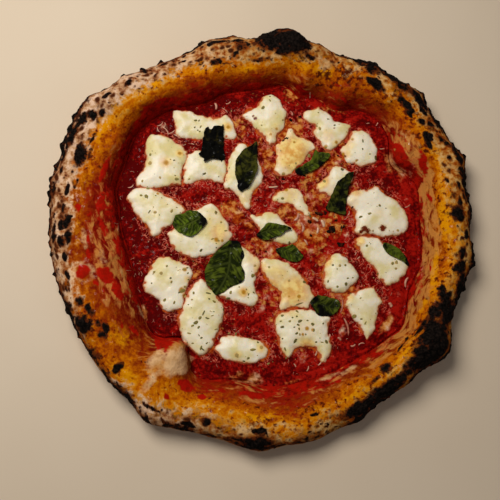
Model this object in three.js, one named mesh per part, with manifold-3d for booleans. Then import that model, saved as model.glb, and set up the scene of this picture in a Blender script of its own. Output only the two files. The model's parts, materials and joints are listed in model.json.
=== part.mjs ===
// A margherita pizza, about 300 mm across, baked hot and fast. A puffed and scorched rim of dough stands
// round a flat floor. Tomato sauce covers the floor, slabs of melted mozzarella lie on the sauce, and
// basil leaves lie on top. Flakes of dried herb stick to the cheese.
//
// Millimetres. +Z is up. Directions are degrees anticlockwise from +X, seen from above.
// The model is centred on its own box, with the underside on z = 0.

import * as THREE from 'three';
import { mergeVertices } from 'three/addons/utils/BufferGeometryUtils.js';
import Module from 'manifold-3d';

const wasm = await Module();
wasm.setup();

// ---- Driving dimensions ---------------------------------------------------------------------------

// The rim. A swell is [direction, reach, spread]: it adds its reach in that direction and fades either side.
const EDGE_RADIUS = 149;
const EDGE_SWELLS = [
  [3, -1.5, 10], [20, 4, 9], [42, 4, 12], [68, -6, 12], [81, 3, 6], [107, 1, 4], [116, -8, 16],
  [148, 6, 10], [167, 3, 9], [205, -2, 14], [218, -1, 8], [240, 4, 8], [254, -1, 5], [270, 1.5, 9],
  [305, -4, 14], [325, 3, 5], [338, -4, 7],
];
const RIM_WIDTH = 33;
const RIM_WIDTH_SWELLS = [
  [28, 9, 8], [59, 6, 6], [75, 6, 6], [92, 9, 13], [112, 4, 10], [152, 7, 12], [172, 3, 8], [195, 18, 30],
  [236, 17, 7], [262, 7, 15], [285, 7, 18], [320, -2, 25],
];
const CREST_INSET = 13;
const CREST_INSET_SWELLS = [[81, 2, 8], [95, 4, 20], [175, 7, 24], [262, 3, 14]];
const CREST_HEIGHT = 25;
const CREST_HEIGHT_SWELLS = [
  [5, 1, 10], [30, -2, 14], [81, 6, 9], [110, -1, 12], [145, 2, 12], [205, 3, 20], [250, -3, 12],
  [290, -3, 16], [325, 4, 10],
];
const BELLY_HEIGHT = 8;
const FOOT_TUCK = 6;
const FLOOR_HEIGHT = 4;

// How steeply the rim drops to the floor inside: 0 is a long slope, 1 is a puffed wall.
const PUFF = 0.35;
const PUFF_SWELLS = [[110, 0.45, 30], [160, 0.45, 25], [200, 0.35, 25], [235, 0.5, 9], [28, 0.3, 8]];

// Large blisters: [direction, roll, radius, rise]. The roll goes round the rim's section: 0 is its inner
// foot, 90 the crest, 180 the outermost belly and 270 the outer foot.
const BLISTERS = [
  [81, 100, 12, 4], [90, 112, 9, 3], [74, 122, 8, 3], [98, 95, 7, 2], [106, 128, 6, 3], [60, 38, 10, 4],
  [75, 38, 9, 4], [48, 60, 8, 2], [27, 32, 13, 4], [12, 70, 9, 2], [150, 42, 9, 4], [128, 60, 10, 2],
  [172, 36, 10, 3], [190, 30, 11, 3], [206, 45, 10, 2], [236, 32, 15, 5], [262, 22, 11, 3],
  [285, 50, 10, 2], [300, 75, 8, 2], [325, 128, 13, 4], [312, 130, 9, 3], [338, 60, 9, 2],
  [352, 150, 9, 3], [5, 148, 8, 3], [20, 140, 10, 3], [42, 142, 10, 2], [58, 140, 8, 2],
  [134, 125, 8, 3], [145, 128, 9, 3], [157, 132, 8, 3], [170, 145, 7, 2], [185, 120, 8, 2],
  [210, 118, 9, 2], [222, 140, 9, 2], [240, 150, 10, 3], [268, 160, 12, 3], [255, 120, 8, 2],
  [280, 120, 9, 2], [295, 150, 8, 2],
];
const SMALL_BLISTERS = 90;
const SMALL_BLISTER_RADIUS = [4, 8];
const SMALL_BLISTER_RISE = [0.7, 1.8];
const BLISTER_SEED = 11;

const CRUST_SPOKES = 132;
const ROLL_STEPS = [0, 12, 24, 36, 50, 64, 77, 90, 104, 118, 132, 146, 160, 180, 202, 228, 270];

// The tomato sauce, a thin layer with a gentle swell of its own.
const SAUCE_THICKNESS = 2;
const SAUCE_SWELL = 0.25;
const SAUCE_WAVE = 75;
const SAUCE_INSET = 1.4;
const SAUCE_SPOKES = 66;

// Melted slabs of mozzarella. at is the middle, size is length and width, turn is the direction of the
// length, square is 2 for an oval and more for a squarer slab. A tip is a swell of the outline.
const SLABS = [
  { at: [-43, 76], size: [45, 20], turn: 172, square: 4, thick: 3.6, tips: [[150, 3, 14], [215, 2, 16]] },
  { at: [-73, 47], size: [38, 32], turn: 80, square: 3.4, thick: 4.4, tips: [[180, -4, 18], [235, 3, 16]] },
  { at: [-78, 13], size: [32, 27], turn: 150, square: 2.2, thick: 4,
    tips: [[0, 5, 22], [60, -3, 24], [150, 4, 18], [215, -3, 20], [272, 5, 22]] },
  { at: [-41, 44], size: [29, 27], turn: 0, square: 3.2, thick: 3.8,
    tips: [[208, 3, 16], [268, -3, 22], [332, 3, 14]] },
  { at: [-14, 39], size: [44, 25], turn: 92, square: 2, thick: 3.6, tips: [[215, 3, 18], [275, 3, 12]] },
  { at: [3, 82], size: [34, 28], turn: 80, square: 2.6, thick: 4.4,
    tips: [[175, 3, 16], [215, -2, 16], [275, 4, 18]] },
  { at: [21, 57], size: [32, 28], turn: 60, square: 2.4, thick: 2.8,
    tips: [[15, 4, 20], [95, 2, 14], [245, 6, 18], [310, -4, 24]] },
  { at: [47, 76], size: [32, 24], turn: 150, square: 2.2, thick: 4,
    tips: [[0, 5, 14], [60, -2, 20], [128, 3, 16], [280, 5, 20]] },
  { at: [71, 60], size: [28, 27], turn: 0, square: 2.6, thick: 4.2, tips: [[182, 2, 10], [350, 1, 14]] },
  { at: [52, 35], size: [28, 25], turn: 20, square: 2.4, thick: 3.8, tips: [[180, 3, 16]] },
  { at: [83, 12], size: [45, 36], turn: 148, square: 2.5, thick: 5, tips: [[105, 3, 16], [225, 3, 18]] },
  { at: [86, -22], size: [42, 19], turn: 138, square: 2.8, thick: 4.4,
    tips: [[100, 3, 14], [280, 3, 12], [350, 3, 14]] },
  { at: [55, -32], size: [27, 26], turn: 0, square: 2.4, thick: 4.8, tips: [[90, 1, 16]] },
  { at: [72, -57], size: [31, 23], turn: 95, square: 2.2, thick: 4.4,
    tips: [[60, 4, 18], [140, 4, 18], [272, 5, 12]] },
  { at: [27, -72], size: [38, 34], turn: 170, square: 3.2, thick: 4.6,
    tips: [[30, 2, 14], [150, 2, 12], [238, 5, 12], [278, -3, 16], [315, 5, 12]] },
  { at: [17, -38], size: [42, 20], turn: 142, square: 2.4, thick: 3.4, tips: [[110, 3, 18], [285, 4, 18]] },
  { at: [-14, -37], size: [39, 26], turn: 88, square: 2.8, thick: 4,
    tips: [[0, -5, 24], [160, -2, 20], [215, 3, 18]] },
  { at: [-44, -4], size: [42, 35], turn: 20, square: 2.2, thick: 4.2, tips: [[2, 5, 10], [195, 2, 14]] },
  { at: [-67, -39], size: [36, 32], turn: 100, square: 2.6, thick: 4.6,
    tips: [[25, 3, 12], [240, -2, 14], [275, 3, 18]] },
  { at: [-43, -63], size: [46, 29], turn: 96, square: 2.1, thick: 5, tips: [[235, 3, 14], [272, 2, 14]] },
  { at: [-15, -85], size: [38, 22], turn: 2, square: 2.6, thick: 4, tips: [[20, 2, 12], [165, 1, 14]] },
  { at: [8, 0], size: [34, 16], turn: 150, square: 2.4, thick: 3.2, tips: [[0, 3, 14], [190, 3, 16]] },
  { at: [25, 17], size: [36, 10], turn: 138, square: 2.6, thick: 3, tips: [[95, 5, 22], [330, 2, 12]] },
];
const SLAB_GAP = 0.3;
const SLAB_SPOKES = 18;
const SLAB_CLEARANCE = 0.8;
// Rings of a slab from the middle of its top to the middle of its underside: [part of radius, of thickness].
const SLAB_RINGS = [[0, 1], [0.5, 0.99], [0.84, 0.88], [0.97, 0.62], [1, 0.3], [0.93, 0], [0, 0]];

// Basil leaves. at is the middle, tip is the direction that the point looks, point is how sharply the leaf
// narrows to it, crease is how deep the midrib lies and ripple how high the edge waves.
const LEAVES = [
  { at: [-36, 61], size: [26, 17], tip: 80, point: 0.25, crease: 0.6, ripple: 1.6 },
  { at: [-12, 44], size: [37, 16], tip: 72, point: 0.9, crease: 1.2, ripple: 1.2 },
  { at: [36, 48], size: [28, 12], tip: 27, point: 1, crease: 1, ripple: 1.2 },
  { at: [56, 23], size: [34, 14], tip: 63, point: 1.3, crease: 1.2, ripple: 1.4 },
  { at: [-52, 1], size: [23, 18], tip: 192, point: 0.5, crease: 1, ripple: 1.2 },
  { at: [-26, -29], size: [40, 26], tip: 252, point: 0.55, crease: 1.4, ripple: 1.4 },
  { at: [6, -3], size: [27, 11], tip: 12, point: 0.9, crease: 0.8, ripple: 0.9 },
  { at: [19, -18], size: [19, 13], tip: 345, point: 0.7, crease: 0.7, ripple: 0.9 },
  { at: [43, -55], size: [21, 14], tip: 350, point: 0.5, crease: 0.8, ripple: 1.1 },
  { at: [94, -17], size: [25, 10], tip: 318, point: 0.9, crease: 0.8, ripple: 0.9 },
];
const LEAF_THICKNESS = 0.8;
const LEAF_GAP = 0.4;
const LEAF_LENGTH_STEPS = 7;
const LEAF_WIDTH_STEPS = 4;
const LEAF_END_WIDTH = 1;

// Flakes of dried herb on the cheese.
const FLAKES = 54;
const FLAKE_RADIUS = [0.9, 1.7];
const FLAKE_HEIGHT = 1.1;
const FLAKE_SINK = 0.5;
const FLAKE_SIDES = 5;
const FLAKE_SEED = 5;

const DOUGH = new THREE.MeshStandardMaterial({ color: '#c98a4b', roughness: 0.75, metalness: 0 });
const SAUCE = new THREE.MeshStandardMaterial({ color: '#9c1a10', roughness: 0.3, metalness: 0 });
const CHEESE = new THREE.MeshStandardMaterial({ color: '#efe7cf', roughness: 0.4, metalness: 0 });
const BASIL = new THREE.MeshStandardMaterial({ color: '#2f4a22', roughness: 0.55, metalness: 0 });

// ---- Small tools ----------------------------------------------------------------------------------

const { sin, cos, abs, hypot, max, min, PI } = Math;
const radians = (degrees) => (degrees * PI) / 180;
const mix = (a, b, part) => a + (b - a) * part;
const turnBetween = (a, b) => ((((a - b + 180) % 360) + 360) % 360) - 180;

function swelled(base, swells, direction) {
  let value = base;
  for (const [at, reach, spread] of swells) {
    value += reach * Math.exp(-((turnBetween(direction, at) / spread) ** 2));
  }
  return value;
}

// Draws from 0 to 1, the same ones each time for the same seed.
function seededDraws(seed) {
  let state = seed;
  return () => {
    state = (state * 1664525 + 1013904223) % 4294967296;
    return state / 4294967296;
  };
}

// A closed body from rings that are stacked from the middle of its top to the middle of its underside.
// placed(spoke, ring) gives the point of one spoke on one ring. The first and last ring are single points.
function ringBody(spokes, rings, placed) {
  const geometry = new THREE.SphereGeometry(1, spokes, rings - 1);
  const position = geometry.getAttribute('position');
  for (let i = 0; i < position.count; i += 1) {
    const ring = Math.floor(i / (spokes + 1));
    const spoke = (i % (spokes + 1)) % spokes;
    position.setXYZ(i, ...placed(spoke, ring));
  }
  geometry.deleteAttribute('normal');
  geometry.deleteAttribute('uv');
  return mergeVertices(geometry);
}

// ---- The crust ------------------------------------------------------------------------------------

// The plain section of the rim, as [radius, height] at a roll round it.
function rimSection(direction, roll) {
  const edge = swelled(EDGE_RADIUS, EDGE_SWELLS, direction);
  const inner = edge - swelled(RIM_WIDTH, RIM_WIDTH_SWELLS, direction);
  const crest = edge - swelled(CREST_INSET, CREST_INSET_SWELLS, direction);
  const height = swelled(CREST_HEIGHT, CREST_HEIGHT_SWELLS, direction);
  if (roll <= 90) {
    const part = roll / 90;
    const puff = min(1, swelled(PUFF, PUFF_SWELLS, direction));
    const across = mix(part, 1 - cos((part * PI) / 2) ** 0.8, puff);
    const up = mix(0.5 - 0.5 * cos(part * PI), sin((part * PI) / 2) ** 0.8, puff);
    return [mix(inner, crest, across), mix(FLOOR_HEIGHT, height, up)];
  }
  if (roll <= 180) {
    const fromCrest = radians(roll - 90);
    return [mix(crest, edge, sin(fromCrest) ** 0.9), mix(BELLY_HEIGHT, height, cos(fromCrest) ** 0.9)];
  }
  const fromBelly = radians(roll - 180);
  return [edge - FOOT_TUCK * (1 - cos(fromBelly)), BELLY_HEIGHT * (1 - sin(fromBelly))];
}

function rimPoint(direction, roll) {
  const [radius, height] = rimSection(direction, roll);
  return [radius * cos(radians(direction)), radius * sin(radians(direction)), height];
}

// The blisters as [x, y, z, radius, rise].
function allBlisters() {
  const draw = seededDraws(BLISTER_SEED);
  const rows = [...BLISTERS];
  for (let i = 0; i < SMALL_BLISTERS; i += 1) {
    const direction = (360 * (i + draw())) / SMALL_BLISTERS;
    const roll = mix(35, 185, draw());
    rows.push([direction, roll, mix(...SMALL_BLISTER_RADIUS, draw()), mix(...SMALL_BLISTER_RISE, draw())]);
  }
  return rows.map(([direction, roll, radius, rise]) => [...rimPoint(direction, roll), radius, rise]);
}
const blisters = allBlisters();

// How far the skin stands proud of the plain section, faded out at both feet.
function blisterRise(x, y, z, roll) {
  let rise = 0;
  for (const [bx, by, bz, radius, height] of blisters) {
    rise += height * Math.exp(-((hypot(x - bx, y - by, z - bz) / radius) ** 2));
  }
  return rise * min(1, roll / 20) * min(1, (270 - roll) / 70);
}

// A point of the skin: the plain section, pushed out along the section's own normal by the blisters.
function skinPoint(direction, roll) {
  const [x, y, z] = rimPoint(direction, roll);
  const step = 1;
  const [beforeRadius, beforeHeight] = rimSection(direction, max(0, roll - step));
  const [afterRadius, afterHeight] = rimSection(direction, min(270, roll + step));
  const length = hypot(afterRadius - beforeRadius, afterHeight - beforeHeight);
  const rise = blisterRise(x, y, z, roll) / length;
  const outwards = -(afterHeight - beforeHeight) * rise;
  const upwards = (afterRadius - beforeRadius) * rise;
  const angle = radians(direction);
  return [x + outwards * cos(angle), y + outwards * sin(angle), max(0, z + upwards)];
}

function crust() {
  const lastRing = ROLL_STEPS.length + 1;
  return ringBody(CRUST_SPOKES, ROLL_STEPS.length + 2, (spoke, ring) => {
    if (ring === 0) return [0, 0, FLOOR_HEIGHT];
    if (ring === lastRing) return [0, 0, 0];
    return skinPoint((360 * spoke) / CRUST_SPOKES, ROLL_STEPS[ring - 1]);
  });
}

// ---- The sauce ------------------------------------------------------------------------------------

function sauceTop(x, y) {
  const wave = (2 * PI) / SAUCE_WAVE;
  const swell = sin(x * wave + 1) * sin(y * wave + 2) + sin((x + y) * wave * 0.7) * 0.5;
  return FLOOR_HEIGHT + SAUCE_THICKNESS + SAUCE_SWELL * swell;
}

function sauce() {
  const parts = [0, 0.14, 0.28, 0.42, 0.56, 0.7, 0.84, 0.97, 1, 0];
  const edgeRing = parts.length - 2;
  return ringBody(SAUCE_SPOKES, parts.length, (spoke, ring) => {
    const direction = (360 * spoke) / SAUCE_SPOKES;
    const radius = (rimSection(direction, 0)[0] - SAUCE_INSET) * parts[ring];
    const x = radius * cos(radians(direction));
    const y = radius * sin(radians(direction));
    return [x, y, ring < edgeRing ? sauceTop(x, y) : FLOOR_HEIGHT];
  });
}

// ---- The mozzarella -------------------------------------------------------------------------------

function slabRadius(slab, direction) {
  const along = abs(cos(radians(direction - slab.turn))) / (slab.size[0] / 2);
  const across = abs(sin(radians(direction - slab.turn))) / (slab.size[1] / 2);
  const plain = (along ** slab.square + across ** slab.square) ** (-1 / slab.square);
  return swelled(plain, slab.tips, direction);
}

// How far out in an outline a place lies, as a part of the radius there. An outline is a middle and a
// radius for each spoke.
function partOfOutline(outline, x, y) {
  const spoke = (((Math.atan2(y - outline.at[1], x - outline.at[0]) / (2 * PI) + 1) % 1) * SLAB_SPOKES);
  const before = Math.floor(spoke) % SLAB_SPOKES;
  const radius = mix(outline.radii[before], outline.radii[(before + 1) % SLAB_SPOKES], spoke % 1);
  return hypot(x - outline.at[0], y - outline.at[1]) / radius;
}

function outlineCorner(outline, spoke, extra) {
  const direction = radians((360 * spoke) / SLAB_SPOKES);
  const radius = outline.radii[spoke % SLAB_SPOKES] + extra;
  return [outline.at[0] + radius * cos(direction), outline.at[1] + radius * sin(direction)];
}

// Whether the side after a spoke comes too near to another outline.
function sideMeets(outline, spoke, other) {
  const [startX, startY] = outlineCorner(outline, spoke, SLAB_CLEARANCE);
  const [endX, endY] = outlineCorner(outline, spoke + 1, SLAB_CLEARANCE);
  return [0, 0.2, 0.4, 0.6, 0.8, 1].some((part) => (
    partOfOutline(other, mix(startX, endX, part), mix(startY, endY, part)) < 1));
}

// Each slab draws its sides back from the slabs before it.
function slabOutlines() {
  const outlines = [];
  for (const slab of SLABS) {
    const plainRadius = (_, spoke) => slabRadius(slab, (360 * spoke) / SLAB_SPOKES);
    const radii = Array.from({ length: SLAB_SPOKES }, plainRadius);
    const outline = { at: slab.at, radii };
    let meets = true;
    while (meets) {
      meets = false;
      for (let spoke = 0; spoke < SLAB_SPOKES; spoke += 1) {
        if (outlines.some((other) => sideMeets(outline, spoke, other))) {
          radii[spoke] -= 0.25;
          radii[(spoke + 1) % SLAB_SPOKES] -= 0.25;
          meets = true;
        }
      }
    }
    outlines.push(outline);
  }
  return outlines;
}
const outlines = slabOutlines();

// The height of a slab's top at a part of its radius.
function slabTop(slab, part) {
  let ring = 1;
  while (SLAB_RINGS[ring][0] < part && SLAB_RINGS[ring][0] < 1) ring += 1;
  const [outerPart, outerHeight] = SLAB_RINGS[ring];
  const [innerPart, innerHeight] = SLAB_RINGS[ring - 1];
  const share = min(1, (part - innerPart) / (outerPart - innerPart));
  return slab.thick * mix(innerHeight, outerHeight, share);
}

function slabBody(index) {
  const slab = SLABS[index];
  return ringBody(SLAB_SPOKES, SLAB_RINGS.length, (spoke, ring) => {
    const direction = (360 * spoke) / SLAB_SPOKES;
    const [part, height] = SLAB_RINGS[ring];
    const radius = outlines[index].radii[spoke] * part;
    const x = slab.at[0] + radius * cos(radians(direction));
    const y = slab.at[1] + radius * sin(radians(direction));
    return [x, y, sauceTop(x, y) + SLAB_GAP + slab.thick * height];
  });
}

// The highest of what lies under a place: the sauce or a slab.
function toppingTop(x, y) {
  let top = sauceTop(x, y);
  SLABS.forEach((slab, index) => {
    const part = partOfOutline(outlines[index], x, y);
    if (part < 1.05) top = max(top, sauceTop(x, y) + SLAB_GAP + slabTop(slab, min(part, 0.97)));
  });
  return top;
}

// ---- The basil ------------------------------------------------------------------------------------

function highestNear(x, y, reach) {
  let top = toppingTop(x, y);
  for (let direction = 0; direction < 360; direction += 30) {
    for (const part of [0.5, 1]) {
      const dx = reach * part * cos(radians(direction));
      const dy = reach * part * sin(radians(direction));
      top = max(top, toppingTop(x + dx, y + dy));
    }
  }
  return top;
}

// Half of the leaf's width at a place along it, from -1 at the stalk to 1 at the tip.
function leafHalfWidth(leaf, along) {
  const oval = (1 - abs(along) ** 2.2) ** 0.6 * (1 - along * 0.4 * leaf.point);
  return max(LEAF_END_WIDTH, (leaf.size[1] / 2) * oval);
}

// A point of the leaf's lower face: draped over what lies under it, creased along the midrib and wavy.
function leafPoint(leaf, along, across) {
  const lengthwise = (leaf.size[0] / 2) * along;
  const sideways = leafHalfWidth(leaf, along) * across;
  const angle = radians(leaf.tip);
  const x = leaf.at[0] + lengthwise * cos(angle) - sideways * sin(angle);
  const y = leaf.at[1] + lengthwise * sin(angle) + sideways * cos(angle);
  const support = highestNear(x, y, 3.6) + LEAF_GAP;
  const wave = leaf.ripple * (0.5 + 0.5 * sin(along * 5 + across * 2 + leaf.tip)) * abs(across);
  return [x, y, support + leaf.crease * abs(across) + wave];
}

// A thin solid between two like grids of points, one above the other, with a strip round the edge.
function leafBody(leaf) {
  const rows = LEAF_LENGTH_STEPS + 1;
  const columns = LEAF_WIDTH_STEPS + 1;
  const points = [];
  for (const lift of [0, LEAF_THICKNESS]) {
    for (let row = 0; row < rows; row += 1) {
      for (let column = 0; column < columns; column += 1) {
        const along = mix(-1, 1, row / LEAF_LENGTH_STEPS);
        const across = mix(-1, 1, column / LEAF_WIDTH_STEPS);
        const [x, y, z] = leafPoint(leaf, along, across);
        points.push(x, y, z + lift);
      }
    }
  }
  const upper = rows * columns;
  const triangles = [];
  const quad = (a, b, c, d) => triangles.push(a, b, c, a, c, d);
  for (let row = 0; row < LEAF_LENGTH_STEPS; row += 1) {
    for (let column = 0; column < LEAF_WIDTH_STEPS; column += 1) {
      const a = row * columns + column;
      const b = a + columns;
      triangles.push(upper + a, upper + b, upper + b + 1, upper + a, upper + b + 1, upper + a + 1);
      triangles.push(a, b + 1, b, a, a + 1, b + 1);
    }
  }
  for (let row = 0; row < LEAF_LENGTH_STEPS; row += 1) {
    const left = row * columns;
    const right = left + LEAF_WIDTH_STEPS;
    quad(left, left + columns, upper + left + columns, upper + left);
    quad(right + columns, right, upper + right, upper + right + columns);
  }
  const lastRow = LEAF_LENGTH_STEPS * columns;
  for (let column = 0; column < LEAF_WIDTH_STEPS; column += 1) {
    quad(column + 1, column, upper + column, upper + column + 1);
    quad(lastRow + column, lastRow + column + 1, upper + lastRow + column + 1, upper + lastRow + column);
  }
  const geometry = new THREE.BufferGeometry();
  geometry.setAttribute('position', new THREE.Float32BufferAttribute(points, 3));
  geometry.setIndex(triangles);
  return geometry;
}

// ---- The herb flakes ------------------------------------------------------------------------------

function nearLeaf(x, y, margin) {
  return LEAVES.some((leaf) => {
    const angle = radians(leaf.tip);
    const dx = x - leaf.at[0];
    const dy = y - leaf.at[1];
    const along = dx * cos(angle) + dy * sin(angle);
    const across = -dx * sin(angle) + dy * cos(angle);
    return abs(along) < leaf.size[0] / 2 + margin && abs(across) < leaf.size[1] * 0.7 + margin;
  });
}

// Places for the flakes: [slab index, x, y, chance], spread over the slabs by their area, clear of leaves.
function flakePlaces() {
  const draw = seededDraws(FLAKE_SEED);
  const areas = SLABS.map((slab) => slab.size[0] * slab.size[1]);
  const total = areas.reduce((sum, area) => sum + area, 0);
  const places = [];
  SLABS.forEach((slab, index) => {
    const wanted = Math.round((FLAKES * areas[index]) / total);
    let tries = 0;
    let placed = 0;
    while (placed < wanted && tries < 200) {
      tries += 1;
      const direction = 360 * draw();
      const radius = slabRadius(slab, direction) * draw() ** 0.5;
      const x = slab.at[0] + radius * cos(radians(direction));
      const y = slab.at[1] + radius * sin(radians(direction));
      const inside = partOfOutline(outlines[index], x, y) < 0.78;
      const crowded = places.some(([, px, py]) => hypot(x - px, y - py) < 5);
      if (inside && !crowded && !nearLeaf(x, y, 3)) {
        places.push([index, x, y, draw()]);
        placed += 1;
      }
    }
  });
  return places;
}

const flakes = flakePlaces();

function flakeBody(index, x, y, chance) {
  const radius = mix(...FLAKE_RADIUS, chance);
  const top = sauceTop(x, y) + SLAB_GAP + slabTop(SLABS[index], partOfOutline(outlines[index], x, y));
  const base = top - FLAKE_SINK;
  const flake = new THREE.CylinderGeometry(radius * 0.7, radius, FLAKE_HEIGHT, FLAKE_SIDES);
  flake.deleteAttribute('normal');
  flake.deleteAttribute('uv');
  flake.rotateX(PI / 2);
  flake.scale(1, 0.65, 1);
  flake.rotateZ(chance * 40);
  flake.translate(x, y, base + FLAKE_HEIGHT / 2);
  return mergeVertices(flake);
}

function toManifold(geometry) {
  return new wasm.Manifold(new wasm.Mesh({
    numProp: 3,
    vertProperties: Float32Array.from(geometry.getAttribute('position').array),
    triVerts: Uint32Array.from(geometry.getIndex().array),
  }));
}

function fromManifold(manifold) {
  const mesh = manifold.getMesh();
  const geometry = new THREE.BufferGeometry();
  geometry.setAttribute('position', new THREE.BufferAttribute(mesh.vertProperties, 3));
  geometry.setIndex(new THREE.BufferAttribute(mesh.triVerts, 1));
  return geometry;
}

function slabWithFlakes(index) {
  let body = toManifold(slabBody(index));
  for (const [slabIndex, x, y, chance] of flakes) {
    if (slabIndex === index) body = body.add(toManifold(flakeBody(index, x, y, chance)));
  }
  return fromManifold(body);
}

// ---- The whole pizza ------------------------------------------------------------------------------

const pizza = new THREE.Group();

function addPiece(name, geometry, material) {
  geometry.computeVertexNormals();
  const mesh = new THREE.Mesh(geometry, material);
  mesh.name = name;
  pizza.add(mesh);
}

const numbered = (name, index) => `${name}_${String(index + 1).padStart(2, '0')}`;

addPiece('crust', crust(), DOUGH);
addPiece('tomato_sauce', sauce(), SAUCE);
SLABS.forEach((_, index) => addPiece(numbered('mozzarella', index), slabWithFlakes(index), CHEESE));
LEAVES.forEach((leaf, index) => addPiece(numbered('basil', index), leafBody(leaf), BASIL));

const middle = new THREE.Box3().setFromObject(pizza).getCenter(new THREE.Vector3());
pizza.position.set(-middle.x, -middle.y, 0);

export default pizza;
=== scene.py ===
import itertools
import json
import math

import bpy
import numpy as np
from bpy.props import FloatProperty, FloatVectorProperty, IntProperty, PointerProperty
from mathutils import Matrix, Vector
from mathutils.bvhtree import BVHTree

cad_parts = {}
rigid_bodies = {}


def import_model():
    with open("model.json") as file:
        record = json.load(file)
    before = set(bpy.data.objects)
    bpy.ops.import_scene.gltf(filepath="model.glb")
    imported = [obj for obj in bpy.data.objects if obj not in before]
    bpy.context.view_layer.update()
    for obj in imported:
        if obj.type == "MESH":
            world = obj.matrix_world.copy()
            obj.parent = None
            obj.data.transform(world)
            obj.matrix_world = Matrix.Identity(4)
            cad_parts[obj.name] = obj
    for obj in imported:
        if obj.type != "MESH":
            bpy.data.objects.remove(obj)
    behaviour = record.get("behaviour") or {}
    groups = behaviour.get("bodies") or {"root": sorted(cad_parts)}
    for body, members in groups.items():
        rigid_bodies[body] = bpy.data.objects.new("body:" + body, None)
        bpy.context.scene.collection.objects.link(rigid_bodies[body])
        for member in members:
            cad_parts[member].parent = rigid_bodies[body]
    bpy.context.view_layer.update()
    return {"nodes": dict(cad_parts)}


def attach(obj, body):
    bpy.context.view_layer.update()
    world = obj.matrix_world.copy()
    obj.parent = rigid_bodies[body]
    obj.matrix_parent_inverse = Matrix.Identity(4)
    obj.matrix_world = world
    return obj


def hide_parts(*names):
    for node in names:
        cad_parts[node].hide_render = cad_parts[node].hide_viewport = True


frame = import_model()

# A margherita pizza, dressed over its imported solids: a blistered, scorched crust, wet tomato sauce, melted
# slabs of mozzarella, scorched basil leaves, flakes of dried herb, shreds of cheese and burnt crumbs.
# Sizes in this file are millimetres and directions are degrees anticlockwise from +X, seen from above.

bl_info = {
    "name": "Margherita Pizza",
    "version": (1, 0, 0),
    "blender": (4, 5, 0),
    "location": "3D View > Sidebar > Pizza",
    "description": "Builds the crust, sauce, mozzarella and basil of a margherita pizza over its solids",
    "category": "Object",
}

MM = 0.001
# Settings that many nodes share: a soft step for a MapRange node, and colours for a Mix node.
SOFT = dict(interpolation_type="SMOOTHSTEP")
BLEND = dict(output=2, data_type="RGBA")

# ---- The crust's finish: zones and marks ----------------------------------------------------------

# How far out the oily part of the rim ends and the floury part begins, as (direction, radius).
FLOUR_FROM = [
    (2, 136), (10, 133), (18, 135), (26, 136), (34, 139), (42, 138), (50, 134), (58, 138), (66, 129),
    (72, 125), (80, 124), (96, 119), (104, 121), (112, 124), (120, 128), (128, 128), (136, 131),
    (144, 134), (156, 134), (164, 134), (172, 133), (180, 131), (188, 133), (196, 136), (204, 138),
    (210, 140), (214, 147), (222, 149), (236, 146), (244, 142), (250, 137), (260, 137), (270, 137),
    (276, 143), (281, 144), (286, 137), (300, 135), (330, 132), (345, 137), (354, 138),
]
# How far out the sauce has crept up the inner slope.
SAUCE_TO = [
    (2, 117), (10, 120), (14, 119), (18, 125), (26, 119), (32, 117), (38, 120), (46, 118), (52, 113),
    (58, 108), (66, 108), (72, 107), (80, 110), (90, 109), (100, 107), (112, 107), (120, 109),
    (128, 115), (136, 119), (144, 117), (152, 114), (160, 112), (168, 112), (176, 110), (184, 106),
    (192, 106), (200, 105), (208, 107), (216, 101), (222, 104), (228, 110), (233, 108), (236, 100),
    (240, 104), (246, 112), (254, 110), (262, 112), (270, 116), (280, 117), (290, 118), (300, 115),
    (310, 119), (320, 119), (335, 118), (350, 119),
]
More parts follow.
